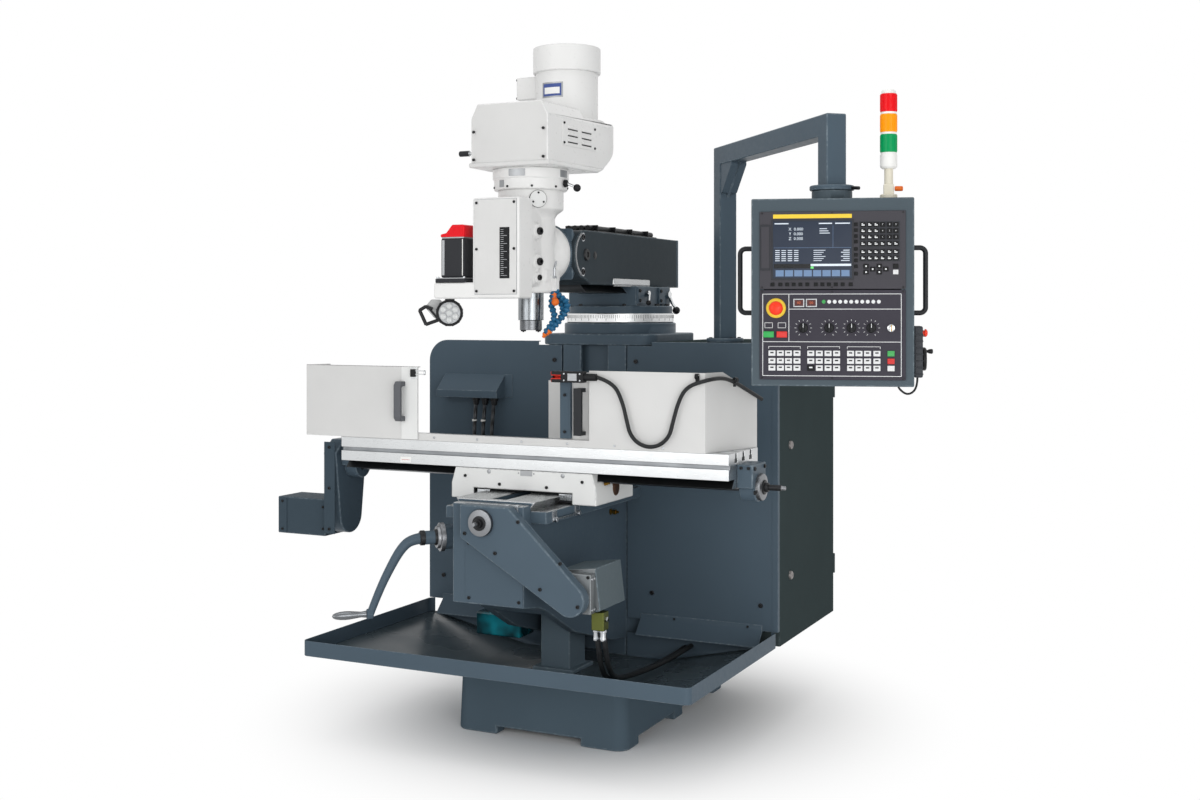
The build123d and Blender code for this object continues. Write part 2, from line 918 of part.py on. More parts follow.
with BuildPart() as lift_crank:
    rod(crank_plane.offset(crank_hub_start), (0, 0), crank_hub_radius, crank_hub_length)
    rod(crank_plane.offset(crank_hub_start), (0, 0), crank_shaft_radius, -crank_hub_length / 2)
    with BuildLine(arm_plane) as line:
        FilletPolyline(
            (0, crank_hub_start + crank_hub_length / 2),
            (crank_throw * 0.14, crank_reach * 0.62),
            (crank_throw * 0.62, crank_reach - crank_arm_thick),
            (crank_throw, crank_reach - crank_arm_thick / 2),
            radius=crank_throw * 0.3,
        )
    path = line.wire()
    with BuildSketch(Plane(origin=path @ 0, x_dir=arm_plane.z_dir, z_dir=path % 0)) as section:
        Rectangle(crank_arm_width, crank_arm_thick)
    sweep(section.sketch, path=path)
    rod(pin_plane.offset(-crank_arm_thick), (crank_throw, 0), crank_arm_width / 2, crank_arm_thick)
    rod(pin_plane, (crank_throw, 0), crank_pin_radius, grip_length)

with BuildPart() as crank_grip:
    with BuildSketch(pin_plane.offset(slide_gap)) as outline:
        with Locations((crank_throw, 0)):
            Circle(grip_neck_radius)
            Circle(crank_pin_radius + turn_gap, mode=Mode.SUBTRACT)
    extrude(outline.sketch, amount=grip_length - slide_gap)
    with BuildSketch(pin_plane.offset(grip_length * 0.15)) as outline:
        with Locations((crank_throw, 0)):
            Circle(grip_radius)
            Circle(crank_pin_radius + turn_gap, mode=Mode.SUBTRACT)
    extrude(outline.sketch, amount=grip_length * 0.75)

with BuildPart() as saddle_casting:
    prism(front_plane(saddle_rear), (
        (-saddle_width / 2, saddle_low),
        (saddle_width / 2, saddle_low),
        (saddle_width / 2, saddle_high - saddle_slant),
        (saddle_top_width / 2, saddle_high),
        (-saddle_top_width / 2, saddle_high),
        (-saddle_width / 2, saddle_high - saddle_slant),
    ), saddle_rear - saddle_front)
    # lower groove on the knee way, with a wiper pocket at each end
    rise = saddle_low - knee_flange_top
    slope = (knee_way_top_half - knee_way_low_half) / (knee_way_top - knee_flange_top)
    groove_top = knee_way_top + free_gap
    prism(front_plane(saddle_rear), (
        (-knee_way_low_half - free_gap, knee_flange_top),
        (knee_way_low_half + free_gap, knee_flange_top),
        (knee_way_low_half + free_gap + slope * (groove_top - knee_flange_top), groove_top),
        (-knee_way_low_half - free_gap - slope * (groove_top - knee_flange_top), groove_top),
    ), saddle_rear - saddle_front, Mode.SUBTRACT)
    for rear in (saddle_rear, saddle_front + saddle_pocket_depth):
        block((-saddle_pocket_width / 2, saddle_pocket_width / 2), (rear - saddle_pocket_depth, rear),
              (saddle_low, saddle_pocket_top), mode=Mode.SUBTRACT)
    # upper groove for the table way
    groove_low = table_bottom - table_way_height - slide_gap
    prism(side_plane(-saddle_width / 2), (
        (table_y - table_way_top_half - free_gap, table_bottom),
        (table_y - table_way_low_half - free_gap, groove_low),
        (table_y + table_way_low_half + free_gap, groove_low),
        (table_y + table_way_top_half + free_gap, table_bottom),
    ), saddle_width, Mode.SUBTRACT)
    # table nut in the groove, cross nut below, and the bores of both screws
    block((-feed_nut_length / 2, feed_nut_length / 2), (table_y - feed_nut_half, table_y + feed_nut_half),
          (groove_low, table_bottom - slide_gap))
    rod(side_plane(-saddle_width / 2), (table_y, feed_level), feed_screw_radius + free_gap, saddle_width,
        Mode.SUBTRACT)
    block((-cross_nut_width / 2, cross_nut_width / 2),
          (table_y - cross_nut_length / 2, table_y + cross_nut_length / 2),
          (cross_level - cross_nut_drop, groove_top))
    rod(front_plane(table_y + cross_nut_length / 2), (0, cross_level), cross_screw_radius + free_gap,
        cross_nut_length,
        Mode.SUBTRACT)

with BuildPart() as work_table:
    half = table_length / 2
    block((-half, half), (table_front, table_rear), (table_bottom, table_top))
    for side in (-1, 1):
        prism(side_plane(-half), (
            (table_y + side * table_way_top_half, table_bottom),
            (table_y + side * table_way_low_half, table_bottom - table_way_height),
            (table_y + side * table_channel / 2, table_bottom - table_way_height),
            (table_y + side * table_channel / 2, table_bottom),
        ), table_length)
    for number in (-1, 0, 1):
        y = table_y + number * slot_pitch
        for width, top, depth in (
            (slot_neck, table_top, slot_neck_depth),
            (slot_head, table_top - slot_neck_depth, slot_head_depth),
        ):
            block((-half, half), (y - width / 2, y + width / 2), (top - depth, top), mode=Mode.SUBTRACT)
    block((-half, half), (table_front, table_front + dog_groove_depth),
          (dog_groove_level, dog_groove_level + dog_groove_height), mode=Mode.SUBTRACT)

with BuildPart() as end_brackets:
    for left in (table_length / 2, -feed_end):
        block((left, left + bracket_thick), (table_y - bracket_width / 2, table_y + bracket_width / 2),
              (feed_level, bracket_top))
        rod(side_plane(left), (table_y, feed_level), bracket_radius, bracket_thick)
        rod(side_plane(left), (table_y, feed_level), feed_screw_radius + free_gap, bracket_thick,
            Mode.SUBTRACT)

with BuildPart() as table_screw:
    rod(side_plane(-feed_end - housing_thick / 2), (table_y, feed_level), feed_screw_radius,
        2 * feed_end + housing_thick / 2)
    rod(side_plane(feed_end + slide_gap), (table_y, feed_level), dial_radius, dial_length)
    rod(side_plane(feed_end), (table_y, feed_level), dial_shaft_radius, feed_dial_shaft)

with BuildPart() as feed_belt_housing:
    with BuildSketch(side_plane(housing_left)) as outline:
        with BuildLine():
            Line((table_y - housing_top_half, housing_shoulder),
                 (table_y + housing_top_half, housing_shoulder))
            Line((table_y - housing_top_half / 2, housing_top),
                 (table_y + housing_top_half / 2, housing_top))
        with Locations((table_y, housing_low)):
            Circle(housing_low_half)
        make_hull()
    extrude(outline.sketch, amount=housing_thick)
    rod(side_plane(-feed_end), (table_y, feed_level), feed_screw_radius + free_gap,
        -housing_thick / 2 - free_gap,
        Mode.SUBTRACT)
    # servo motor in its cover, on a round neck
    rod(side_plane(servo_right), (table_y, middle(servo_z)), servo_neck_radius, servo_gap)
    block((servo_right - servo_length, servo_right),
          (table_y - servo_width / 2, table_y + servo_width / 2), servo_z)

with BuildPart() as table_guard:
    rail_rear = guard_front + guard_rail_depth
    block((-table_length / 2, guard_front_right), (guard_front, rail_rear),
          (table_top, table_top + guard_rail_height))
    block((guard_front_left, guard_front_right), (guard_front, guard_front + sheet),
          (table_top, guard_top))
    prism(Plane.XY.offset(table_top), (
        (guard_front_right - sheet, guard_front),
        (guard_front_right, guard_front),
        (guard_rear_right, table_rear),
        (guard_rear_right - sheet, table_rear),
    ), guard_top - table_top)
    prism(side_plane(guard_front_right - sheet), (
        (guard_slope_y, guard_top),
        (table_rear, guard_rear_top),
        (table_rear + sheet, guard_rear_top),
        (table_rear + sheet, guard_top),
    ), guard_rear_right - guard_front_right + 2 * sheet, Mode.SUBTRACT)
    prism(front_plane(table_rear), (
        (guard_rear_left, table_top),
        (guard_rear_right - sheet / 2, table_top),
        (guard_rear_right - sheet / 2, guard_rear_top),
        (guard_rear_left, guard_rear_left_top),
    ), sheet)

with BuildPart() as left_guard_door:
    block(left_door_x, (door_front, door_front + sheet), left_door_z)
    # the return at the left end clears the rail as the door slides
    return_low = table_top + guard_rail_height + free_gap
    prism(Plane.XY.offset(return_low), (
        (left_door_x[0], door_front),
        (left_door_x[0] + sheet, door_front),
        (left_return_x + sheet, left_return_y),
        (left_return_x, left_return_y),
    ), left_door_z[1] - return_low)
    bow_handle(left_handle_x, left_handle_z, door_front)
    block(key_x, (switch_rear - switch_depth, door_front), switch_z)
    block((key_x[1], key_x[1] + key_tongue),
          (switch_rear - switch_depth / 2 - key_tongue_width / 2,
           switch_rear - switch_depth / 2 + key_tongue_width / 2),
          (middle(switch_z) - key_tongue_thick / 2, middle(switch_z) + key_tongue_thick / 2))

with BuildPart() as right_guard_door:
    block(right_door_x, (right_door_front, right_door_front + sheet), right_door_z)
    channel_z = (table_top + guard_rail_height + sheet, right_door_z[1])
    block((right_door_x[0], right_door_x[0] + channel_width),
          (right_door_front - guard_rail_depth, right_door_front),
          channel_z)
    bow_handle(right_handle_x, right_handle_z, right_door_front)
    # bracket that holds the interlock switch
    block((right_door_x[0] + sheet, right_door_x[0] + channel_width), (switch_rear, right_door_front),
          (switch_z[0] + sheet, right_door_z[1]))

with BuildPart() as interlock_switch:
    switch_y = switch_rear - switch_depth / 2
    block((switch_head_x[0], switch_body_right), (switch_rear - switch_depth, switch_rear), switch_z)
    block((switch_head_x[0], switch_head_x[1]),
          (switch_y - key_tongue_width, switch_y + key_tongue_width / 2 + sheet),
          (middle(switch_z) - key_tongue_thick, middle(switch_z) + key_tongue_thick), mode=Mode.SUBTRACT)
    rod(side_plane(switch_body_right), (switch_y, middle(switch_z)), gland_radius, gland_length)

with BuildPart() as switch_conduit:
    start_x = switch_body_right + gland_length + sheet
    side_slope = (guard_rear_right - guard_front_right) / (table_rear - guard_front)
    hang_y = switch_y + conduit_radius
    clip_out = 3 * conduit_radius
    route = [(start_x, switch_y, middle(switch_z))]
    for along, down in conduit_hang:
        route.append((start_x + along, hang_y - conduit_radius / 2, middle(switch_z) - down))
    for back, down in conduit_side:
        y = guard_front + back
        route.append((guard_front_right + clip_out + side_slope * back, y, guard_top - down))
    print("switch conduit", tube(route, conduit_radius))

with BuildPart() as turret_saddle:
    # degree ring, then the disc and the block with the ram's groove
    with BuildSketch(Plane.XY.offset(ring_low)):
        with Locations((0, turret_y)):
            Circle(ring_radius)
            Circle(ring_hole, mode=Mode.SUBTRACT)
    extrude(amount=ring_height)
    rod(Plane.XY.offset(turret_low), (0, turret_y), turret_radius, turret_disc_height)
    block((-turret_block_width / 2, turret_block_width / 2),
          (turret_y - turret_block_length / 2, turret_y + turret_block_length / 2),
          (turret_low + turret_disc_height, turret_high))
    prism(front_plane(turret_y + turret_block_length), (
        (-ram_way_top_half - free_gap, ram_low),
        (ram_way_top_half + free_gap, ram_low),
        (ram_way_low_half + free_gap, ram_low - ram_way_height - slide_gap),
        (-ram_way_low_half - free_gap, ram_low - ram_way_height - slide_gap),
    ), 2 * turret_block_length, Mode.SUBTRACT)

with BuildPart() as ram_lock_lever:
    lever_plane = side_plane(turret_block_width / 2 + slide_gap)
    rod(lever_plane, (turret_y + turret_block_length / 2 - 2 * lever_hub_radius,
                      lever_z - lever_hub_radius),
        lever_hub_radius, lever_hub_length)
    lever_axis_y = turret_y + turret_block_length / 2 - 2 * lever_hub_radius
    tube((
        (turret_block_width / 2 + slide_gap + lever_hub_length / 2, lever_axis_y,
         lever_z - lever_hub_radius),
        (turret_block_width / 2 + lever_hub_length, lever_axis_y + lever_drop / 4, lever_z - lever_drop),
        (turret_block_width / 2 + lever_hub_length + lever_hub_radius, lever_axis_y + lever_drop / 2,
         lever_z - 1.6 * lever_drop),
    ), lever_arm_radius)
    with Locations((turret_block_width / 2 + lever_hub_length + lever_hub_radius,
                    lever_axis_y + lever_drop / 2,
                    lever_z - 1.6 * lever_drop)):
        Sphere(lever_knob_radius)

with BuildPart() as ram_casting:
    prism(Plane.YZ, (
        (pivot_y, ram_high),
        (ram_rear, ram_high),
        (ram_rear, ram_low),
        (ram_way_front, ram_low),
        (pivot_y, pivot_z - pivot_radius),
    ), ram_width / 2, both=True)
    with BuildSketch(Plane.YZ) as outline:
        with Locations((pivot_y, pivot_z)):
            Circle(pivot_radius)
    extrude(outline.sketch, amount=ram_width / 2, both=True)
    prism(front_plane(ram_rear), (
        (-ram_way_top_half, ram_low),
        (ram_way_top_half, ram_low),
        (ram_way_low_half, ram_low - ram_way_height),
        (-ram_way_low_half, ram_low - ram_way_height),
    ), ram_rear - ram_way_front)
    block((-ram_pocket_width / 2, ram_pocket_width / 2), (ram_pocket_front, ram_rear),
          (ram_low + ram_wall, ram_high - ram_wall), mode=Mode.SUBTRACT)
    block((ram_width / 2, ram_width / 2 + rack_thick), rack_y, (ram_low, ram_low + rack_height))

with BuildPart() as ram_cables:
    # end plate of the ram, cable tray and the cables lying in it
    block((-ram_width / 2, ram_width / 2), (ram_rear, ram_rear + ram_cap), (ram_low, ram_high))
    block((-cable_tray_width / 2, cable_tray_width / 2), cable_tray_y,
          (ram_high, ram_high + cable_tray_height))
    for offset in cable_offsets:
        rod(front_plane(cable_tray_y[1]),
            (offset, ram_high + cable_tray_height + cable_radius - sheet / 2),
            cable_radius, cable_tray_y[1] - cable_tray_y[0])

with BuildPart() as head_adapter:
    block((-adapter_half, adapter_half), (tilt_y + adapter_flange, pivot_y),
          (pivot_z - adapter_half, pivot_z + adapter_half))
    sector = math.radians(adapter_sector)
    reach = 2 * adapter_half
    for side in (-1, 1):
        prism(Plane.YZ, (
            (pivot_y, pivot_z),
            (pivot_y - reach * math.cos(sector), pivot_z + side * reach * math.sin(sector)),
            (pivot_y + reach, pivot_z + side * reach * math.sin(sector)),
            (pivot_y + reach, pivot_z),
        ), adapter_half, Mode.SUBTRACT, both=True)
    rod(front_plane(tilt_y + adapter_flange), (0, pivot_z), adapter_radius, adapter_flange)
    # round seat on the nose of the ram
    with BuildSketch(Plane.YZ) as outline:
        with Locations((pivot_y, pivot_z)):
            Circle(pivot_radius + slide_gap)
    extrude(outline.sketch, amount=ram_width, both=True, mode=Mode.SUBTRACT)

with BuildPart() as head_casting:
    rod(Plane.XY.offset(head_low), (0, spindle_y), head_radius, head_high - head_low)
    rod(Plane.XY.offset(head_top_low), (0, spindle_y), head_top_radius, head_high - head_top_low)
    rod(front_plane(tilt_y - slide_gap), (0, pivot_z), head_flange_radius, head_flange_depth)
    block((-head_neck_half, head_neck_half), (spindle_y, tilt_y - slide_gap - head_flange_depth / 2),
          (head_neck_low, head_neck_high))
    block((-head_pad_half, head_pad_half), (drive_rear, spindle_y), (head_pad_low, head_pad_high))
    rod(Plane.XY.offset(head_low), (0, spindle_y), quill_radius + turn_gap,
        head_high - head_cap - head_low, Mode.SUBTRACT)
    rod(Plane.XY.offset(head_low), (0, spindle_y), drive_shaft_radius + free_gap, head_high - head_low,
        Mode.SUBTRACT)

with BuildPart() as gear_housing:
    rod(Plane.XY.offset(head_high), (0, spindle_y), gear_low_radius, gear_tier - head_high)
    rod(Plane.XY.offset(gear_tier), (0, spindle_y), gear_radius, gear_high - gear_tier)
    rod(Plane.XY.offset(head_high + gear_wall), (0, spindle_y), gear_low_radius - gear_wall,
        gear_high - head_high - gear_wall, Mode.SUBTRACT)

with BuildPart() as belt_housing:
    # bottom plate, lower body around the motor, and the higher front body
    for grow, low, high in ((belt_plate_rim, belt_low, belt_body_low),
                            (0, belt_body_low, belt_front_high)):
        with BuildSketch(Plane.XY.offset(low)) as outline:
            with BuildLine():
                Line((-belt_front_half - grow, belt_front - grow),
                     (belt_front_half + grow, belt_front - grow))
            with Locations((0, motor_y)):
                Circle(belt_rear_half + grow)
            make_hull()
        extrude(outline.sketch, amount=high - low)
    block((-belt_rear_half, belt_rear_half), (belt_step_y, motor_y + belt_rear_half),
          (belt_rear_high, belt_front_high),
          mode=Mode.SUBTRACT)
    chamfer(
        faces().filter_by(Axis.Z).sort_by(Axis.Z)[-1].edges().filter_by(Axis.X, reverse=True),
        length=belt_crown / 2,
        length2=belt_crown,
    )
    # the underside climbs behind the head, over the ram
    prism(Plane.YZ, (
        (belt_underside_y, belt_low),
        (motor_y + 2 * belt_rear_half, belt_low),
        (motor_y + 2 * belt_rear_half, belt_low + 2 * belt_underside_rise),
    ), 2 * belt_rear_half, Mode.SUBTRACT, both=True)
    # hollow for the belt and pulleys, open below into the gear housing
    prism(Plane.YZ, (
        (belt_front + belt_wall, belt_body_low),
        (belt_underside_y - belt_wall, belt_body_low),
        (motor_y + belt_rear_half - 4 * belt_wall, belt_low + 2 * belt_underside_rise),
        (motor_y + belt_rear_half - 4 * belt_wall, belt_rear_high - belt_wall),
        (belt_step_y - belt_wall, belt_rear_high - belt_wall),
        (belt_step_y - belt_wall, belt_front_high - 2 * belt_wall),
        (belt_front + belt_wall, belt_front_high - 2 * belt_wall),
    ), belt_front_half - 3 * belt_wall, Mode.SUBTRACT, both=True)
    rod(Plane.XY.offset(belt_low), (0, spindle_y), gear_low_radius - 2 * gear_wall, belt_plate,
        Mode.SUBTRACT)

with BuildPart() as spindle_motor:
    rod(Plane.XY.offset(belt_rear_high), (0, motor_y), motor_flange_radius, motor_flange_height)
    rod(Plane.XY.offset(belt_rear_high), (0, motor_y), motor_radius, cowl_low - belt_rear_high)
    rod(Plane.XY.offset(cowl_low), (0, motor_y), cowl_radius, motor_top - cowl_low)
    block((terminal_x[0], -motor_radius / 2), terminal_y, terminal_z)

with BuildPart() as quill_drive_cover:
    block((-drive_half, drive_half), (drive_front, drive_rear), (drive_low, drive_high))
    block((cover_wall - drive_half, drive_half - cover_wall), (drive_front + cover_wall, drive_rear),
          (drive_low + cover_wall, drive_high - cover_wall), mode=Mode.SUBTRACT)
    # shelf that carries the servo at the left
    block((servo_plate_left, -drive_half), (drive_front, drive_rear), (drive_low, servo_plate_top))

with BuildPart() as quill_servo:
    servo_y = (drive_front, drive_front + quill_servo_depth)
    block(quill_servo_x, servo_y, (servo_plate_top, quill_servo_cap_low))
    block((quill_servo_x[0] + sheet, quill_servo_x[1] - sheet), (servo_y[0] + sheet, servo_y[1] - sheet),
          (quill_servo_cap_low, quill_servo_high))

with BuildPart() as coolant_nozzle:
    tube(nozzle_route, nozzle_radius)
    block((nozzle_route[0][0] - 2 * nozzle_radius, nozzle_route[0][0] + 2 * nozzle_radius),
          (nozzle_route[0][1] - 2 * nozzle_radius, nozzle_route[0][1] + 2 * nozzle_radius),
          (head_low, head_neck_low))

with BuildPart() as quill:
    rod(Plane.XY.offset(quill_low), (0, spindle_y), quill_radius, quill_high - quill_low)
    rod(Plane.XY.offset(quill_low), (0, spindle_y), spindle_radius + turn_gap, quill_high - quill_low,
        Mode.SUBTRACT)

with BuildPart() as spindle:
    nose_high = quill_low - slide_gap
    rod(Plane.XY.offset(nose_low), (0, spindle_y), nose_radius, nose_high - nose_low)
    rod(Plane.XY.offset(nose_high), (0, spindle_y), spindle_radius, quill_high - nose_high)
    rod(Plane.XY.offset(quill_high), (0, spindle_y), drive_shaft_radius, drive_shaft_high - quill_high)
    for level, radius in ((nose_low, taper_mouth), (nose_low + taper_length, taper_end)):
        with BuildSketch(Plane.XY.offset(level)):
            with Locations((0, spindle_y)):
                Circle(radius)
    loft(mode=Mode.SUBTRACT)
    rod(Plane.XY.offset(nose_low), (0, spindle_y), drawbar_radius, drawbar_depth, Mode.SUBTRACT)

with BuildPart() as speed_lever:
    hub_x = gear_radius + slide_gap
    rod(side_plane(hub_x), (spindle_y, speed_hub_z), speed_hub_radius, speed_hub_length)
    tube((
        (hub_x + speed_hub_length / 2, spindle_y, speed_hub_z),
        (speed_knob_x, spindle_y, speed_knob_z),
    ), speed_hub_radius / 2)
    with Locations((speed_knob_x, spindle_y, speed_knob_z)):
        Sphere(speed_knob_radius)

with BuildPart() as brake_lever:
    rod(Plane.XY.offset(brake_z - brake_hub_height / 2), (brake_hub_x, brake_y), brake_hub_radius,
        brake_hub_height)
    rod(side_plane(brake_grip_x[1]), (brake_y, brake_z), brake_grip_radius / 2,
        brake_hub_x - brake_grip_x[1])
    rod(side_plane(brake_grip_x[0]), (brake_y, brake_z), brake_grip_radius,
        brake_grip_x[1] - brake_grip_x[0])

lamp_out = Vector(math.sin(math.radians(lamp_turn)), -math.cos(math.radians(lamp_turn)), 0)
lamp_plane = Plane(origin=(lamp_x, lamp_y, lamp_z), x_dir=(0, 0, 1), z_dir=lamp_out)

with BuildPart() as work_lamp:
    rod(lamp_plane.offset(-lamp_thick / 2), (0, 0), lamp_radius, lamp_thick)
    neck_high = drive_low - slide_gap
    rod(Plane.XY.offset(lamp_z), (lamp_x, lamp_y), lamp_neck_radius, neck_high - lamp_z)
    tube(((lamp_x, lamp_y, lamp_z - lamp_radius / 2), (lamp_handle_x, lamp_y, lamp_handle_z)),
         lamp_handle_radius)

arm_side = Plane(origin=(arm_x, arm_y, 0), x_dir=arm_run, z_dir=arm_run.cross(Vector(0, 0, 1)))
arm_low = panel_top + slide_gap

with BuildPart() as pendant_arm:
    # bent square tube, open at both ends for the cables
    for inset, half, mode in ((0, arm_tube / 2, Mode.ADD),
                              (arm_wall, arm_tube / 2 - arm_wall, Mode.SUBTRACT)):
        side = arm_tube / 2 - inset
        under = arm_top - arm_tube + inset
        prism(arm_side, (
            (-side, arm_low),
            (side, arm_low),
            (side, under),
            (arm_length - side, under),
            (arm_length - side, arm_collar_low),
            (arm_length + side, arm_collar_low),
            (arm_length + side, arm_top - inset),
            (-side, arm_top - inset),
        ), half, mode, both=True)
    prism(arm_side, (
        (arm_tube / 2, arm_top - arm_tube),
        (arm_tube / 2, arm_top - arm_tube - arm_gusset),
        (arm_tube / 2 + arm_gusset, arm_top - arm_tube),
    ), arm_gusset_thick / 2, both=True)
    for centre, low, radius, height in (
        ((arm_x, arm_y), arm_low, arm_foot_radius, arm_foot_height),
        ((arm_end_x, arm_end_y), arm_collar_low, arm_collar_radius, arm_collar_high - arm_collar_low),
    ):
        with BuildSketch(Plane.XY.offset(low)) as outline:
            with Locations(centre):
                Circle(radius)
                Circle(arm_tube / 2 - arm_wall, mode=Mode.SUBTRACT)
        extrude(outline.sketch, amount=height)

with BuildPart() as pendant_case:
    half_width = pendant_width / 2
    block((-half_width, half_width), (pendant_face, -pendant_face), (pendant_low, pendant_high),
          pendant_plane)
    block((pendant_wall - half_width, half_width - pendant_wall),
          (pendant_face + pendant_wall, -pendant_face - pendant_wall),
          (pendant_low + pendant_wall, pendant_high - pendant_wall), pendant_plane, Mode.SUBTRACT)
    block((window_margin - plate_width / 2, plate_width / 2 - window_margin),
          (pendant_face, pendant_face + pendant_wall),
          (lower_plate_z[0] + window_margin,
           upper_plate_z[1] - window_margin), pendant_plane, Mode.SUBTRACT)
    with BuildSketch(Plane.XY.offset(pendant_high)) as outline:
        with Locations((arm_end_x, arm_end_y)):
            Circle(pendant_collar_radius)
            Circle(arm_tube / 2 - arm_wall, mode=Mode.SUBTRACT)
    extrude(outline.sketch, amount=arm_collar_low - slide_gap - pendant_high)

with BuildPart() as control_panels:
    for levels in (upper_plate_z, lower_plate_z):
        block((-plate_width / 2, plate_width / 2), (plate_face, pendant_face), levels, pendant_plane)
    rod(pendant_front, (estop_x, estop_z), estop_ring_radius, estop_ring_height)
    # holes for what is pressed and turned
    rod(pendant_front.offset(-plate_thick), (estop_x, estop_z), estop_stem_radius + free_gap,
        plate_thick + estop_ring_height, Mode.SUBTRACT)
    with BuildSketch(pendant_front) as outline:
        with Locations(*[(x, knob_z) for x in knob_x + (key_switch_x,)]):
            Circle(knob_shaft_radius + free_gap)
        with Locations(*[(x, push_z) for x in push_x]):
            Rectangle(push_width + 2 * free_gap, push_height + 2 * free_gap)
    extrude(outline.sketch, amount=-plate_thick, mode=Mode.SUBTRACT)

with BuildPart() as pendant_handles:
    for side in (-1, 1):
        wall_x = side * pendant_width / 2
        grip_x = wall_x + side * (hand_loop_reach - hand_loop_radius)
        route = [(wall_x, 0, hand_loop_z[0]), (grip_x, 0, hand_loop_z[0]), (grip_x, 0, hand_loop_z[1]),
                 (wall_x, 0, hand_loop_z[1])]
        tube([pendant_plane.from_local_coords(p) for p in route], hand_loop_radius)

with BuildPart() as stack_light:
    low = pendant_high
    for radius, height in stack_steps:
        rod(pendant_plane.offset(low), (stack_x, 0), radius, height)
        low += height

with BuildPart() as hand_pulse_unit:
    reach_x = (pendant_width / 2, pendant_width / 2 + pulse_reach)
    block(reach_x, pulse_y, pulse_z, pendant_plane)
    rod(pendant_side.offset(pulse_reach), (middle(pulse_y), pulse_knob_z), pulse_knob_radius,
        pulse_knob_height)
    cable_x = middle(reach_x)
    route = [(cable_x, 0, pulse_z[0]), (cable_x, 0, pendant_low - 8), (cable_x - 26, 0, pendant_low - 28),
             (cable_x - 52, 0, pendant_low - 8), (cable_x - 52, 0, pendant_low)]
    tube([pendant_plane.from_local_coords(p) for p in route], pulse_cable_radius)

with BuildPart() as pulse_wheel:
    wheel_plane = pendant_side.offset(pulse_reach + slide_gap)
    wheel_centre = (middle(pulse_y), pulse_wheel_z)
    rod(wheel_plane, wheel_centre, pulse_wheel_radius, pulse_wheel_thick)
    rod(wheel_plane.offset(pulse_wheel_thick), (wheel_centre[0] - pulse_crank_offset, wheel_centre[1]),
        pulse_crank_radius,
        pulse_crank_length)

with BuildPart() as estop_button:
    head_start = estop_ring_height + estop_travel + slide_gap
    rod(pendant_front.offset(-2 * plate_thick), (estop_x, estop_z), estop_stem_radius,
        2 * plate_thick + head_start)
    rod(pendant_front.offset(head_start), (estop_x, estop_z), estop_head_radius, estop_head_height)

knobs = []
for x in knob_x:
    with BuildPart() as knob:
        rod(pendant_front.offset(-2 * plate_thick), (x, knob_z), knob_shaft_radius,
            2 * plate_thick + slide_gap)
        rod(pendant_front.offset(slide_gap), (x, knob_z), knob_radius, knob_height)
        # flat finger grip across the knob
        for side in (-1, 1):
            with BuildSketch(pendant_front.offset(slide_gap + knob_height / 3)) as outline:
                with Locations((x + side * knob_radius, knob_z)):
                    Rectangle(knob_radius, 2 * knob_radius)
            extrude(outline.sketch, amount=knob_height, mode=Mode.SUBTRACT)
    knobs.append(knob)

with BuildPart() as key_switch:
    rod(pendant_front.offset(-2 * plate_thick), (key_switch_x, knob_z), knob_shaft_radius,
        2 * plate_thick + slide_gap)
    rod(pendant_front.offset(slide_gap), (key_switch_x, knob_z), key_barrel_radius, key_bow_thick)
    with BuildSketch(pendant_front.offset(slide_gap + key_bow_thick)) as outline:
        with Locations((key_switch_x, knob_z)):
            Rectangle(key_bow_thick, key_bow_width)
    extrude(outline.sketch, amount=key_bow_length)

pushes = []
for x in push_x:
    with BuildPart() as push:
        with BuildSketch(pendant_front.offset(push_proud)) as outline:
            with Locations((x, push_z)):
                Rectangle(push_width, push_height)
        extrude(outline.sketch, amount=-push_depth)
    pushes.append(push)

nodes = {
    "base_casting": base_casting,
    "coolant_tray": coolant_tray,
    "column_casting": column_casting,
    "splash_panels": splash_panels,
    "electrical_cabinet": electrical_cabinet,
    "cabinet_door": cabinet_door,
    "junction_box": junction_box,
    "junction_hoses": junction_hoses,
    "lift_pedestal": lift_pedestal,
    "knee_casting": knee_casting,
    "oil_reservoir": oil_reservoir,
    "lift_screw": lift_screw,
    "cross_belt_cover": cross_belt_cover,
    "cross_servo": cross_servo,
    "knee_hoses": knee_hoses,
    "cross_screw": cross_screw,
    "lift_crank": lift_crank,
    "crank_grip": crank_grip,
    "saddle_casting": saddle_casting,
    "work_table": work_table,
    "end_brackets": end_brackets,
    "table_screw": table_screw,
    "feed_belt_housing": feed_belt_housing,
    "table_guard": table_guard,
    "left_guard_door": left_guard_door,
    "right_guard_door": right_guard_door,
    "interlock_switch": interlock_switch,
    "switch_conduit": switch_conduit,
    "turret_saddle": turret_saddle,
    "ram_lock_lever": ram_lock_lever,
    "ram_casting": ram_casting,
    "ram_cables": ram_cables,
    "head_adapter": head_adapter,
    "head_casting": head_casting,
    "gear_housing": gear_housing,
    "belt_housing": belt_housing,
    "spindle_motor": spindle_motor,
    "quill_drive_cover": quill_drive_cover,
    "quill_servo": quill_servo,
    "coolant_nozzle": coolant_nozzle,
    "quill": quill,
    "spindle": spindle,
    "speed_lever": speed_lever,
    "brake_lever": brake_lever,
    "work_lamp": work_lamp,
    "pendant_arm": pendant_arm,
    "pendant_case": pendant_case,
    "control_panels": control_panels,
    "pendant_handles": pendant_handles,
    "stack_light": stack_light,
    "hand_pulse_unit": hand_pulse_unit,
    "pulse_wheel": pulse_wheel,
    "estop_button": estop_button,
    "mode_knob": knobs[0],
    "feed_knob": knobs[1],
    "rapid_knob": knobs[2],
    "speed_knob": knobs[3],
    "key_switch": key_switch,
    "start_button": pushes[0],
    "stop_button": pushes[1],
}
for label, builder in nodes.items():
    builder.part.label = label
    export_step(builder.part, f"parts/{label}.step")
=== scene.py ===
import math

import bmesh
import bpy
from mathutils import Matrix, Vector


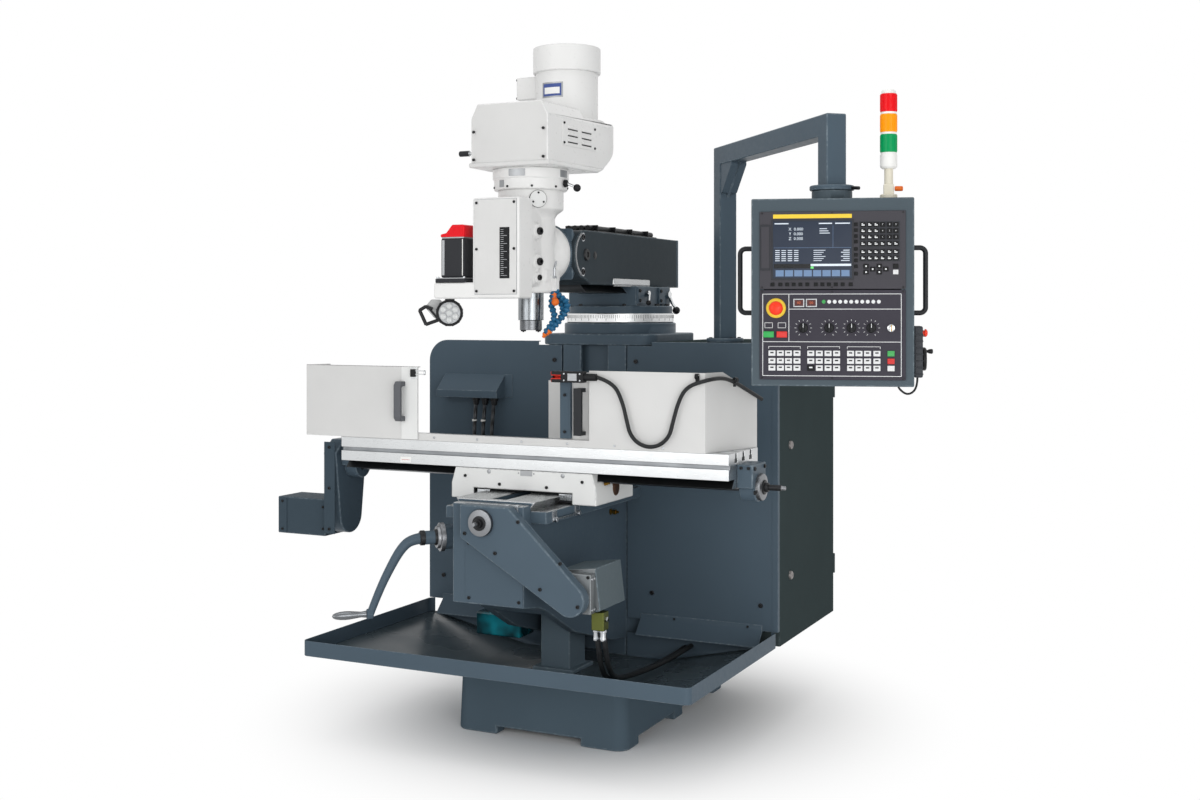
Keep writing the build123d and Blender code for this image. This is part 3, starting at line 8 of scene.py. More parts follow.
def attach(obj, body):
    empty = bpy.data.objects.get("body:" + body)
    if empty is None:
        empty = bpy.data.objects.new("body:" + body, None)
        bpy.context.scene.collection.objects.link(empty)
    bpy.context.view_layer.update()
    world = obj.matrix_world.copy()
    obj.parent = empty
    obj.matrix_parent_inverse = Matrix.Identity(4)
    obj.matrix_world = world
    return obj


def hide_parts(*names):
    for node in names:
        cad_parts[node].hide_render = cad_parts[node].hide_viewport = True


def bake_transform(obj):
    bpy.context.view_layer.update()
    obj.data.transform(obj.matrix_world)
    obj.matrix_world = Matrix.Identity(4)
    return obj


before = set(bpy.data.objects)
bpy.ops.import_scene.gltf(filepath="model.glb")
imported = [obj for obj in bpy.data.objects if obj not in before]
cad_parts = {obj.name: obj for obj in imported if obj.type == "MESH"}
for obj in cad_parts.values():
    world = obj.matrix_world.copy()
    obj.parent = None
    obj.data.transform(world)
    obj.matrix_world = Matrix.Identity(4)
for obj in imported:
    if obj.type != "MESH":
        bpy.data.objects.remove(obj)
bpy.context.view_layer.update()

# Camera and studio: a level camera to the right of the machine's front, a pale floor and soft lamps.
# The floor fades to white away from the machine, as a paper sweep does.
scene = bpy.context.scene
scene.view_settings.view_transform = "Standard"
photo_width = 1200
focal_pixels = 1414
horizon_above_middle = 90
lens = bpy.data.cameras.new("photo_lens")
lens.sensor_width = 36
lens.lens = focal_pixels / photo_width * lens.sensor_width
lens.shift_y = -horizon_above_middle / photo_width
lens.clip_end = 60
camera = bpy.data.objects.new("photo_camera", lens)
camera.location = (2.131, -4.405, 1.371)
camera.rotation_euler = (math.pi / 2, 0, math.radians(25.7))
scene.collection.objects.link(camera)
scene.camera = camera


def linear(hex_colour):
    """The linear colour of an sRGB hex value."""
    values = [int(hex_colour[i:i + 2], 16) / 255 for i in (1, 3, 5)]
    return [v / 12.92 if v <= 0.04045 else ((v + 0.055) / 1.055) ** 2.4 for v in values] + [1]


def add(tree, kind, links=None, inputs=None, **settings):
    """Adds a node with its settings, its input values and the links that feed it, and returns its outputs."""
    made = tree.nodes.new(kind)
    for name, value in settings.items():
        setattr(made, name, value)
    for name, value in (inputs or {}).items():
        made.inputs[name].default_value = value
    for name, source in (links or {}).items():
        tree.links.new(source, made.inputs[name])
    return made.outputs


room_light, room_seen = 0.64, 1.0
room = bpy.data.worlds.new("white_room")
room.use_nodes = True
tree = room.node_tree
tree.nodes.clear()
path = add(tree, "ShaderNodeLightPath")
seen = add(tree, "ShaderNodeMath", {0: path["Is Camera Ray"], 1: path["Is Glossy Ray"]}, operation="MAXIMUM")
seen = add(tree, "ShaderNodeMath", {0: seen[0], 1: path["Is Transmission Ray"]}, operation="MAXIMUM")
level = add(tree, "ShaderNodeMapRange", {"Value": seen[0]}, {"To Min": room_light, "To Max": room_seen})
white = add(tree, "ShaderNodeBackground", {"Strength": level[0]}, {"Color": (1, 1, 1, 1)})
add(tree, "ShaderNodeOutputWorld", {"Surface": white[0]})
scene.world = room

lamps = (
    ("key_lamp", (-1.5, -6.4, 2.0), (0.0, -0.3, 1.0), 3.6, 77),
    ("fill_lamp", (4.6, -4.2, 1.7), (0.2, -0.3, 0.9), 3.0, 61),
    ("low_lamp", (3.0, -4.9, 0.7), (0.3, -0.3, 0.5), 2.4, 50),
    ("top_lamp", (0.2, -0.8, 5.2), (0.0, -0.2, 0.0), 3.4, 48),
    ("knee_lamp", (1.6, -2.0, 0.42), (0.15, -0.4, 0.42), 0.8, 3.5),
)
for name, place, aim, size, watts in lamps:
    lamp = bpy.data.lights.new(name, "AREA")
    lamp.size = size
    lamp.energy = watts
    holder = bpy.data.objects.new(name, lamp)
    holder.location = place
    holder.rotation_euler = (Vector(aim) - Vector(place)).to_track_quat("-Z", "Y").to_euler()
    holder.visible_camera = False
    scene.collection.objects.link(holder)

# Paper sweep: matt and nearly white under the machine, plain white where it fades out
floor_half, fade_start, fade_end = 22, 0.35, 1.25
paper = bpy.data.materials.new("white_paper")
paper.use_nodes = True
tree = paper.node_tree
tree.nodes.clear()
spot = add(tree, "ShaderNodeTexCoord")["Object"]
far = add(tree, "ShaderNodeVectorMath", {0: spot}, operation="LENGTH")["Value"]
fade = add(tree, "ShaderNodeMapRange", {"Value": far}, {"From Min": fade_start, "From Max": fade_end},
           interpolation_type="SMOOTHSTEP")
matt = add(tree, "ShaderNodeBsdfDiffuse", inputs={"Color": linear("#f4f4f4")})
glow = add(tree, "ShaderNodeEmission", inputs={"Color": (1, 1, 1, 1)})
path = add(tree, "ShaderNodeLightPath")
seen = add(tree, "ShaderNodeMath", {0: path["Is Camera Ray"], 1: path["Is Glossy Ray"]}, operation="MAXIMUM")
white = add(tree, "ShaderNodeMath", {0: fade[0], 1: seen[0]}, operation="MULTIPLY")
both = add(tree, "ShaderNodeMixShader", {0: white[0], 1: matt[0], 2: glow[0]})
add(tree, "ShaderNodeOutputMaterial", {"Surface": both[0]})
# The mesh in hand: every piece is drawn into it and then lifted off, which leaves it empty for the next
bm = bmesh.new()
bmesh.ops.create_grid(bm, x_segments=2, y_segments=2, size=floor_half)
sheet = bpy.data.meshes.new("floor")
bm.to_mesh(sheet)
bm.clear()
sheet.materials.append(paper)
floor = bpy.data.objects.new("floor", sheet)
scene.collection.objects.link(floor)


# Base casting: grey iron, filled, primed and sprayed with two-pack enamel; it carries everything else.
# It stands on feet left proud of its underside. Castings keep soft edges under the paint.
class Finish:
    """A material: one main shader, and patterns in the piece's own coordinates that vary it."""

    def __init__(self, name, colour, **values):
        self.made = bpy.data.materials.new(name)
        self.made.use_nodes = True
        self.tree = self.made.node_tree
        self.tree.nodes.clear()
        self.shader = self.tree.nodes.new("ShaderNodeBsdfPrincipled")
        self.shader.inputs["Base Color"].default_value = linear(colour)
        for key, value in values.items():
            self.shader.inputs[key.replace("_", " ")].default_value = value
        add(self.tree, "ShaderNodeOutputMaterial", {"Surface": self.shader.outputs[0]})
        self.where = add(self.tree, "ShaderNodeTexCoord")["Object"]

    def cloud(self, size, detail, **links):
        """Noise whose features are about this many millimetres wide."""
        values = {"Scale": 1000 / size, "Detail": detail}
        return add(self.tree, "ShaderNodeTexNoise", {"Vector": self.where, **links}, values)["Fac"]

    def rings(self, pitch, distortion=0.0):
        """Bands around the upright axis, this many millimetres apart."""
        values = {"Scale": 1000 / pitch / 20, "Distortion": distortion}
        return add(self.tree, "ShaderNodeTexWave", {"Vector": self.where}, values, bands_direction="Z")["Fac"]

    def spread(self, value, low, high, start=0.0, end=1.0):
        """A pattern between start and end, taken to low and high."""
        limits = {"From Min": start, "From Max": end, "To Min": low, "To Max": high}
        return add(self.tree, "ShaderNodeMapRange", {"Value": value}, limits)[0]

    def between(self, value, low, high):
        """A colour that a pattern moves from low to high."""
        return add(self.tree, "ShaderNodeMix", {"Factor": value}, {6: low, 7: high}, data_type="RGBA")[2]

    def relief(self, height, strength, depth, **links):
        """A pattern as bumps of a depth in metres."""
        values = {"Strength": strength, "Distance": depth}
        return add(self.tree, "ShaderNodeBump", {"Height": height, **links}, values)[0]

    def driven(self, **sources):
        """Feeds the shader's inputs and hands over the finished material."""
        for name, source in sources.items():
            self.tree.links.new(source, self.shader.inputs[name.replace("_", " ")])
        return self.made


def shades(colour, change):
    """A colour made darker and lighter by a share of itself."""
    plain = linear(colour)[:3]
    return [v * (1 - change) for v in plain] + [1], [min(1, v * (1 + change)) for v in plain] + [1]


def enamel(name, colour, rough, wave, grain=0.35, edge="#7d8990", gloss=0.1):
    """Sprayed enamel: slow waves from the filler below, fine orange peel, and chips of another colour on the rounded
    edges, which are wear and, on the dark enamels, also a painted highlight along the edges.
    """
    coat = Finish(name, colour, Roughness=rough, Specular_IOR_Level=gloss)
    tone = coat.between(coat.cloud(260, 3), *shades(colour, 0.1))
    speck = coat.cloud(14, 5)
    rounded_edge = add(coat.tree, "ShaderNodeAttribute", attribute_name="rounded_edge")["Fac"]
    # Chips on the rounded edges: wear, and on the dark enamels, whose edge colour is paler, also a painted highlight
    edge_chip_and_highlight = add(coat.tree, "ShaderNodeMath", {0: coat.spread(speck, 0.12, 0.6, 0.48, 0.70), 1: rounded_edge},
               operation="MULTIPLY")[0]
    edge_wear_and_highlight = add(coat.tree, "ShaderNodeMix", {"Factor": edge_chip_and_highlight, 6: tone}, {7: linear(edge)}, data_type="RGBA")[2]
    sheen = coat.spread(speck, rough - 0.05, rough + 0.07, 0.25, 0.75)
    waves = coat.relief(coat.cloud(45, 1), wave, 0.002)
    peel = coat.relief(coat.cloud(3.5, 2), grain, 0.0004, Normal=waves)
    return coat.driven(Base_Color=edge_wear_and_highlight, Roughness=sheen, Normal=peel)


def settle(name, finish, body, slot, *nodes, smooth=40):
    """Lifts off the mesh in hand as a piece that rides on a body and may stand for CAD nodes; the slot argument is not
    used.
    """
    mesh = bpy.data.meshes.new(name)
    bm.to_mesh(mesh)
    bm.clear()
    for part in (finish if isinstance(finish, list) else [finish]):
        mesh.materials.append(part)
    mesh.shade_smooth()
    mesh.set_sharp_from_angle(angle=math.radians(smooth))
    made = bpy.data.objects.new(name, mesh)
    scene.collection.objects.link(made)
    level = made.modifiers.new("flat_faces", "WEIGHTED_NORMAL")
    level.keep_sharp = True
    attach(made, body)
    if nodes:
        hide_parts(*nodes)


same_spot = 2e-6


def dressed(node, width, segments=2, angle=32, cuts=()):
    """Draws a CAD solid with its outer edges rounded, the new faces marked for the enamels' edge chips (wear, and on
    dark paint a painted highlight).
    Each cut is a point, in millimetres, and a direction: what lies beyond it is planed off."""
    bm.from_mesh(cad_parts[node].data)
    for layer in list(bm.loops.layers.uv):
        bm.loops.layers.uv.remove(layer)
    bmesh.ops.remove_doubles(bm, verts=bm.verts, dist=same_spot)
    bmesh.ops.dissolve_limit(bm, angle_limit=math.radians(0.6), verts=bm.verts, edges=bm.edges,
                             use_dissolve_boundaries=False)
    for spot, out in cuts:
        planed = bmesh.ops.bisect_plane(bm, geom=bm.verts[:] + bm.edges[:] + bm.faces[:],
                                        plane_co=Vector(spot) / 1000, plane_no=out, clear_outer=True)
        rim = [e for e in planed["geom_cut"] if isinstance(e, bmesh.types.BMEdge) and e.is_boundary]
        bmesh.ops.holes_fill(bm, edges=rim)
    bmesh.ops.recalc_face_normals(bm, faces=bm.faces)
    rounded_edge = bm.faces.layers.float.new("rounded_edge")
    limit = math.radians(angle)
    edges = [e for e in bm.edges if len(e.link_faces) == 2 and e.calc_face_angle_signed(0) > limit]
    cut = bmesh.ops.bevel(bm, geom=edges, offset=width / 1000, offset_type="OFFSET", segments=segments,
                          profile=0.5, affect="EDGES", clamp_overlap=False, material=-1)
    for face in bm.faces:
        face.material_index = 0
    for face in cut["faces"]:
        face[rounded_edge] = 1.0


# Paint of the castings: slate grey with a low gloss over slightly wavy filler
casting_paint = enamel("slate_casting_enamel", "#485661", 0.36, 0.22)
# Paint of the base: sprayed thinner, so it dries matt
base_paint = enamel("matt_slate_enamel", "#4c5a64", 0.5, 0.22, gloss=0.0)
dressed("base_casting", 7, 3)
settle("base_body", base_paint, "frame", "machine_paint", "base_casting")


# Coolant tray: folded and welded steel sheet around the base, sprayed like the castings.
# Its floor falls to the sump and stays wet with coolant, so it is shinier than the lip; it is painted darker, partly
# for the wet film and partly as painted shade inside the tray.
def recolour(index, rule):
    """Gives another finish to the faces that a rule picks by their middle, in millimetres, and their normal."""
    bm.normal_update()
    for face in bm.faces:
        if rule(face.calc_center_median() * 1000, face.normal):
            face.material_index = index


# Paint of sheet steel: the same slate, flatter because there is no filler below it
sheet_paint = enamel("slate_sheet_enamel", "#475560", 0.40, 0.06)
# Wet paint of the tray's floor: shiny in pools, and dark partly from the wet film and partly as painted shade
coat = Finish("wet_shaded_slate_enamel", "#3f494e", Roughness=0.28, Specular_IOR_Level=0.22)
pool = coat.cloud(170, 2)
wet_and_shaded_paint = coat.driven(Base_Color=coat.between(pool, linear("#353e43"), linear("#49545a")),
                        Roughness=coat.spread(pool, 0.2, 0.36, 0.3, 0.7))
tray_lip = 300
dressed("coolant_tray", 1.3)
recolour(1, lambda spot, out: out.z > 0.2 and spot.z < tray_lip)
settle("tray_pan", [sheet_paint, wet_and_shaded_paint], "frame", "machine_paint", "coolant_tray")

# Column: a ribbed box of grey iron, bolted to the base and painted like it.
# The knee's way is ground on its front, and the turret's seat on its top.
dressed("column_casting", 5, 3)
settle("column_body", casting_paint, "frame", "machine_paint", "column_casting")


# Splash panels: two pans of folded sheet screwed to the column and the cabinet, with chip deflectors below.
# They are held by blackened socket screws, and the right pan ends in a folded strip along its outer edge.
def once(things):
    """Each of the things once, in the order they come in, so that every run draws the same mesh."""
    return list(dict.fromkeys(things))


def slab(place, x, y, h, soft=0.0, mat=0, segments=2):
    """A block between low and high values on a place's axes, in millimetres, with softened edges."""
    size = [(high - low) / 1000 for low, high in (x, y, h)]
    centre = [(high + low) / 2000 for low, high in (x, y, h)]
    shape = place @ Matrix.Translation(centre) @ Matrix.Diagonal((*size, 1))
    made = bmesh.ops.create_cube(bm, size=1, matrix=shape)
    for face in once(f for v in made["verts"] for f in v.link_faces):
        face.material_index = mat
    if soft:
        edges = once(e for v in made["verts"] for e in v.link_edges)
        bmesh.ops.bevel(bm, geom=edges, offset=soft / 1000, offset_type="OFFSET", segments=segments, profile=0.5,
                        affect="EDGES", clamp_overlap=True, material=-1)


def lathe(place, profile, mat=0, steps=24, angle=360):
    """A turned shape: (radius, height) pairs in millimetres, spun about a place's third axis."""
    for face in bm.faces:
        face.tag = True
    line = [bm.verts.new(place @ Vector((r / 1000, 0, h / 1000))) for r, h in profile]
    edges = [bm.edges.new(pair) for pair in zip(line, line[1:])]
    bmesh.ops.spin(bm, geom=line + edges, cent=place.translation, axis=place.to_3x3() @ Vector((0, 0, 1)),
                   angle=math.radians(angle), steps=steps, use_merge=angle == 360)
    faces = [f for f in bm.faces if not f.tag]
    bmesh.ops.remove_doubles(bm, verts=once(v for f in faces for v in f.verts), dist=same_spot)
    faces = [f for f in bm.faces if not f.tag]
    if angle < 360:
        ends = bmesh.ops.holes_fill(bm, edges=once(e for f in faces for e in f.edges if e.is_boundary))
        faces += ends["faces"]
    bmesh.ops.recalc_face_normals(bm, faces=faces)
    for face in faces:
        face.material_index = mat


def at(x, y, z):
    """A place at a point, in millimetres, with the machine's own axes."""
    return Matrix.Translation((x / 1000, y / 1000, z / 1000))


def turned(place, degrees, axis="Z"):
    """A place turned about one of its own axes."""
    return place @ Matrix.Rotation(math.radians(degrees), 4, axis)


def facing(turn, x, y, z):
    """A place on an upright face: 0 looks to the front, 90 to the right, 180 to the rear, -90 to the left.
    Its first axis runs to the right along the face, its second up and its third out of it."""
    return turned(turned(at(x, y, z), turn), 90, "X")


def screw(place, radius, mat=0):
    """A socket screw's head, standing on a face."""
    high = radius * 0.8
    lathe(place, ((0, high * 0.3), (radius * 0.5, high * 0.3), (radius * 0.5, high), (radius * 0.85, high),
                  (radius, high * 0.8), (radius, -1)), mat, 12)


def screws(turn, face, spots, radius, mat=0):
    """Socket screws on one face. A spot is x and z on a front face, and y and z on a side."""
    for along, z in spots:
        x, y = (face, along) if turn in (90, -90) else (along, face)
        screw(facing(turn, x, y, z), radius, mat)


def clouded(name, colour, size, detail, low, high, **values):
    """A metal whose sheen drifts between two roughnesses in clouds of a size in millimetres."""
    coat = Finish(name, colour, **values)
    return coat.driven(Roughness=coat.spread(coat.cloud(size, detail), low, high))


# Blackened steel: dull, near black, with a thin oily sheen; also the ring round the head's side cap, drawn as a
# painted shadow line
black_steel_and_rim_shade = clouded("blackened_steel", "#1d1e20", 4, 3, 0.30, 0.56, Metallic=0.55, Roughness=0.42)
panel_front, deflector_front = -24, -27
dressed("splash_panels", 2.2, 3)
settle("panel_pans", sheet_paint, "frame", "machine_paint", "splash_panels")
slab(facing(0, 0, panel_front, 0), (643, 662.5), (327, 1260), (-1, 1.6), 1.2)
settle("panel_fold", sheet_paint, "frame", "machine_paint")
screws(0, panel_front, ((-153, 1197), (158, 1196), (218, 416), (604, 407), (604, 1196), (-606, 410)), 7.5)
screws(0, deflector_front, [(x, 335) for x in (-300, -560, 300, 560)], 4)
settle("panel_screws", black_steel_and_rim_shade, "frame", "machine_paint")

# Electrical cabinet: a folded steel box behind the right panel, with a hinged door on its outer side.
# The door shuts with two die-cast quarter-turn locks.
# Powder coat of the cabinet: a shade darker and greener than the castings
cabinet_paint = enamel("dark_slate_powder_coat", "#3a4344", 0.48, 0.03, 0.4, "#5d676a", 0.0)
# Die-cast zinc of the locks: a dull satin grey
lock_zinc = clouded("die_cast_zinc", "#8b8786", 3, 3, 0.34, 0.52, Metallic=1.0, Roughness=0.42)
door_face, lock_y = 663.4, 100
dressed("electrical_cabinet", 1.3)
settle("cabinet_box", cabinet_paint, "frame", "machine_paint", "electrical_cabinet")
dressed("cabinet_door", 1.3)
settle("cabinet_door_leaf", cabinet_paint, "cabinet_door", "machine_paint", "cabinet_door")
for z in (491, 923):
    lock = facing(90, door_face, lock_y, z)
    lathe(lock, ((0, 9), (9, 9), (11, 8), (13.5, 6.2), (14.5, 1), (14.5, 0)), 0, 20)
    slab(lock, (-2, 2), (-7, 7), (8, 10.5), 0.6)
settle("cabinet_locks", lock_zinc, "cabinet_door", "key_metal")


# Junction box: a folded hood on the left panel that takes the axis cables, with a gland block below the table.
# Black nylon glands grip each cable hose, and two of the hoses have a white tie around them.
def moulded(name, colour, rough, grain=0.6, depth=0.0003, gloss=0.2, **values):
    """Moulded plastic: a fine sparked texture that breaks up the gloss a little."""
    coat = Finish(name, colour, Roughness=rough, Specular_IOR_Level=gloss, **values)
    haze = coat.spread(coat.cloud(35, 3), max(0.02, rough - 0.1), rough + 0.1)
    return coat.driven(Roughness=haze, Normal=coat.relief(coat.cloud(grain, 2), 0.3, depth))


# Glass-filled nylon in black: matt with a fine spark texture
black_nylon = moulded("black_nylon", "#17181a", 0.46)
# White nylon of cable ties: clean and a little waxy; also the thin strip that is a painted highlight on the quill
# servo's edge
white_nylon_and_edge_highlight = moulded("white_nylon_and_edge_highlight", "#e6e6e2", 0.40)
hose_x = (-450, -413, -376)
hose_y, hose_top, hose_low, tie_z = -58, 1054, 643, 979
dressed("junction_box", 1.8)
settle("junction_hood", sheet_paint, "frame", "machine_paint", "junction_box")
for x in hose_x:
    for z, up in ((hose_top + 4, -1), (hose_low - 3, 1)):
        gland = at(x, hose_y, z) @ Matrix.Diagonal((1, 1, up, 1))
        lathe(gland, ((0, 0), (14, 0), (14, 8), (11, 9), (11, 18), (9, 24), (6.6, 25)), 0, 12)
settle("hose_glands", black_nylon, "frame", "black_rubber")
for x, sway in ((hose_x[0], 6), (hose_x[1], 7)):
    tie = at(x - sway, hose_y - 1, tie_z)
    lathe(tie, ((6, -2.5), (8, -2.5), (8, 2.5), (6, 2.5)), 0, 14)
    slab(tie, (-4, 4), (-12, -7), (-3.5, 3.5), 1)
settle("hose_ties", white_nylon_and_edge_highlight, "frame", "black_rubber")

# Cable and coolant hoses: each is one length of rubber or nylon hose, held by a fitting at both ends.
# The three at the junction box are corrugated conduit that hangs in a slight curve.
# Extruded nitrile: a soft black sheen with a little dust
coat = Finish("nitrile_rubber", "#1b1c1d", Roughness=0.42, Specular_IOR_Level=0.2)
dust = coat.cloud(9, 4)
rubber = coat.driven(Base_Color=coat.between(dust, linear("#141516"), linear("#2b2d2f")),
                     Roughness=coat.spread(dust, 0.34, 0.55, 0.3, 0.7),
                     Normal=coat.relief(coat.cloud(1.5, 2), 0.25, 0.0006))
# Corrugated nylon conduit: ribs around it, with the crests painted lighter as a painted highlight and the valleys
# darker as painted shade
coat = Finish("corrugated_conduit", "#1c1d1f", Roughness=0.34, Specular_IOR_Level=0.4)
ridge = coat.rings(7)
conduit = coat.driven(Base_Color=coat.between(ridge, linear("#0d0e0f"), linear("#3a3d40")),
                      Normal=coat.relief(ridge, 0.8, 0.003))


def bent(name, route, steps, radius=0.0, rounds=5):
    """A curve along control points, in millimetres, as thick as its radius; it isn't in the scene yet."""
    curve = bpy.data.curves.new(name, "CURVE")
    curve.dimensions = "3D"
    curve.bevel_depth = radius / 1000
    curve.bevel_resolution = rounds
    curve.use_fill_caps = True
    line = curve.splines.new("NURBS")
    line.points.add(len(route) - 1)
    for point, spot in zip(line.points, route):
        point.co = [v / 1000 for v in spot] + [1]
    line.order_u = 3
    line.use_endpoint_u = True
    line.resolution_u = steps
    return bpy.data.objects.new(name, curve)


def hose(name, route, radius, body, node, finish=rubber, reach=None):
    """One hose along its route's control points, in millimetres, riding on a body. With reach given, it is instead a
    still mesh fixed in place on no body; the second body and points in reach are not used."""
    made = bent(name, route, 12, radius)
    path = None
    if reach:
        tube = bpy.data.meshes.new_from_object(made)
        made.data.bevel_depth = 0
        path = [v.co[:] for v in bpy.data.meshes.new_from_object(made).vertices]
        bpy.data.objects.remove(made)
        made = bpy.data.objects.new(name, tube)
    made.data.materials.append(finish)
    scene.collection.objects.link(made)
    if reach:
        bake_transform(made)
    else:
        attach(made, body)
    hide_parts(node)


hose_step = 69.5
for number, x in enumerate(hose_x):
    route = [(x, hose_y, hose_top)]
    for step, sway in enumerate((5, 8, 5, -2, -3)):
        route.append((x - sway * (1 + number / 5), hose_y - sway / 5, hose_top - (step + 1) * hose_step))
    route.append((x, hose_y, hose_low))
    hose(f"junction_hose_{number + 1}", route, 6.5, "frame", "junction_hoses", conduit)

# Lift pedestal and screw: an iron stand on the base holds the nut, and a cut steel screw rises from it to the knee.
# The thread is drawn as bands around the screw, because it is fine: lighter crests as a painted highlight, darker
# roots that are partly oil and partly painted shade.
# Enamel of the stand: a paler slate, worn and dusty above the coolant
stand_paint = enamel("stand_slate_enamel", "#5b6a74", 0.5, 0.25, 0.5, "#8a959b", 0.03)
# Cut steel: thread bands with crests lighter as a painted highlight and roots darker, partly oil and partly painted
# shade
thread_pitch = 6
coat = Finish("screw_steel_oil_and_shade", "#8d8f90", Metallic=1.0, Roughness=0.34)
turns = coat.rings(thread_pitch, 0.2)
cut_steel = coat.driven(Base_Color=coat.between(turns, linear("#3a3c3d"), linear("#a9abac")),
                        Normal=coat.relief(turns, 0.6, 0.002))
dressed("lift_pedestal", 4, 3)
settle("pedestal_body", stand_paint, "frame", "machine_paint", "lift_pedestal")
dressed("lift_screw", 0.6)
settle("lift_screw_body", cut_steel, "lift_screw", "ground_steel", "lift_screw")


# Knee: a deep box casting that slides up the column, with ground ways on top for the saddle.
# A sheet cover closes the front of its box below the belt cover, held by three screws.
def brushed(name, colour, rough, along=(1, 14, 14), grain=2.5, depth=0.00025, stain=0.12, metal=1.0):
    """Machined metal: fine lines that run one way, with slow stains from handling and oil."""
    coat = Finish(name, colour, Metallic=metal, Roughness=rough)
    run = add(coat.tree, "ShaderNodeMapping", {"Vector": coat.where}, {"Scale": along})[0]
    lines = coat.cloud(grain * 12, 4, Vector=run)
    tone = coat.between(coat.cloud(90, 4), *shades(colour, stain))
    haze = coat.spread(lines, rough - 0.08, rough + 0.1, 0.3, 0.7)
    return coat.driven(Base_Color=tone, Roughness=haze, Normal=coat.relief(lines, 0.35, depth))


# Ground way steel: a pale grey sheen with lines along the stroke
way_steel = brushed("ground_way_steel", "#aeb0b1", 0.30, (14, 1, 14))
# Zinc-plated steel: bluish, a little cloudy
zinc = brushed("zinc_plated_steel", "#b4b7ba", 0.28, (6, 6, 1), 2, 0.0002)
# Machined brass: warm yellow, tarnished in patches
brass = brushed("machined_brass", "#a9843c", 0.28, (4, 4, 4), 2, 0.0002, 0.3)
knee_front, knee_side, cover_thick, way_foot, way_front = -750, 174, 2.6, 774, -706
dressed("knee_casting", 4, 3)
recolour(1, lambda spot, out: spot.z > way_foot and spot.y > way_front or out.z > 0.7 and spot.z > way_foot - 4)
settle("knee_body", [casting_paint, way_steel], "knee", "machine_paint", "knee_casting")
slab(facing(0, 0, knee_front, 0), (-77, 120), (495, 690), (-1, cover_thick), 1.2)
settle("knee_cover", sheet_paint, "knee", "machine_paint")
screws(0, knee_front - cover_thick, ((-64, 672), (-63, 508), (108, 508)), 5)
settle("knee_cover_screws", black_steel_and_rim_shade, "knee", "machine_paint")
for x in (66, 98):
    clip = facing(0, x, knee_front, 0)
    slab(clip, (-7, 7), (764, 793), (-1, 3), 1)
    slab(clip, (-7, 7), (790, 793.5), (-18, 3), 1)
    screw(facing(0, x, knee_front - 3, 772), 3.5)
settle("way_cover_clips", zinc, "knee", "ground_steel")
stop = facing(90, knee_side, 0, 0)
slab(stop, (-668, -640), (739, 770), (-1, 3), 1)
slab(stop, (-520, -488), (737, 770), (-1, 3), 1)
slab(stop, (-664, -492), (742, 748), (4, 10), 2)
for y in (-656, -504):
    lathe(facing(90, knee_side, y, 745), ((0, 13), (7, 13), (8, 12), (8, 0)), 0, 14)
settle("travel_stop_rod", zinc, "knee", "ground_steel")
lathe(facing(90, 122, -150, 700),
      ((0, 30), (4, 30), (5, 22), (9, 21), (9, 12), (6, 11), (6, 4), (11, 3), (11, 0)), 0, 6)
settle("oil_union", brass, "knee", "key_metal")

# Oil reservoir: a blow-moulded tank of dark teal polypropylene, strapped to the knee's left side.
# It has a screwed filler cap on top; its mottled paler patches are painted reflections.
# Teal polypropylene: glossy, with paler swirls that are painted reflections
coat = Finish("teal_polypropylene", "#0a5f69", Roughness=0.12, Specular_IOR_Level=0.5)
painted_reflection_swirl = coat.spread(coat.cloud(80, 2), 0.0, 1.0, 0.4, 0.66)
teal = coat.driven(Base_Color=coat.between(painted_reflection_swirl, linear("#073038"), linear("#0c7c8a")))
dressed("oil_reservoir", 7, 4)
settle("reservoir_tank", teal, "knee", "reservoir_plastic", "oil_reservoir")
lathe(at(-252, -280, 366), ((0, 15), (14, 15), (17, 13), (18, 2), (21, 1), (21, -3)), 0, 20)
settle("reservoir_cap", black_nylon, "knee", "black_plastic")

# Pump hoses: two black rubber hoses for coolant, clamped to the manifold on the cross servo.
# They sag back under the knee to the frame.
pump_x, pump_y, pump_z, hose_pitch = 333, -694, 436, 22
for number, length in enumerate((0.775, 0.768)):
    shift = hose_pitch * number
    x = pump_x + shift
    route = [(x, pump_y, pump_z)]
    for aside, back, level in ((4, 6, 385), (-2, 36, 325), (-18, 96, 278), (-36, 176, 248), (-44, 272, 230),
                               (-38, 368, 223), (-18, 458, 227), (2, 545, 238), (8, 662, 246)):
        route.append((x + aside, pump_y + back, level + shift / 3))
    hose(f"pump_hose_{number + 1}", route, 8, "knee", "knee_hoses",
         reach=("frame", (0, 0, 0.43), (0, 0, 0.236)))


# Cross feed: a cast cover over the belt that drives the cross screw, with the screw's dial standing out of it.
# Its servo hangs at the low right end on a cast aluminium flange, with a small coolant manifold beside it.
def dial(place, shaft, marks=60):
    """A graduated dial with its lock collar and shaft, on a place whose third axis is the screw's."""
    lathe(place, ((12, -1), (39.5, -1), (40, 0), (40, 11.5), (38.8, 13), (30, 14.5), (22, 15)), 0, 48)
    lathe(place, ((22, 14), (22, 17.5), (20, 19), (14, 19), (14, 27), (12.5, 29), (8.8, 29)), 1, 28)
    lathe(place, ((8.8, 28), (8.8, shaft - 14), (6.6, shaft - 13)), 1, 20)
    lathe(place, ((6.6, shaft - 14), (6.6, shaft - 2), (5, shaft), (0, shaft)), 0, 20)
    for count in range(marks):
        low = 4.5 if count % 5 else 1.5
        slab(turned(place, 360 * count / marks), (39.9, 40.25), (-0.45, 0.45), (low, 9.5), 0, 2)


# Turned and polished steel of the dials: rings of lathe marks with a bright sheen
dial_steel = brushed("turned_dial_steel", "#85878a", 0.40, (1, 1, 1), 0.3, 0.00002, 0.08)
# Black ink rolled into engraved marks: flat and dark; the same black stands as painted shade in the louvre and cowl
# openings
ink_and_opening_shade = moulded("engraving_ink", "#101112", 0.5)
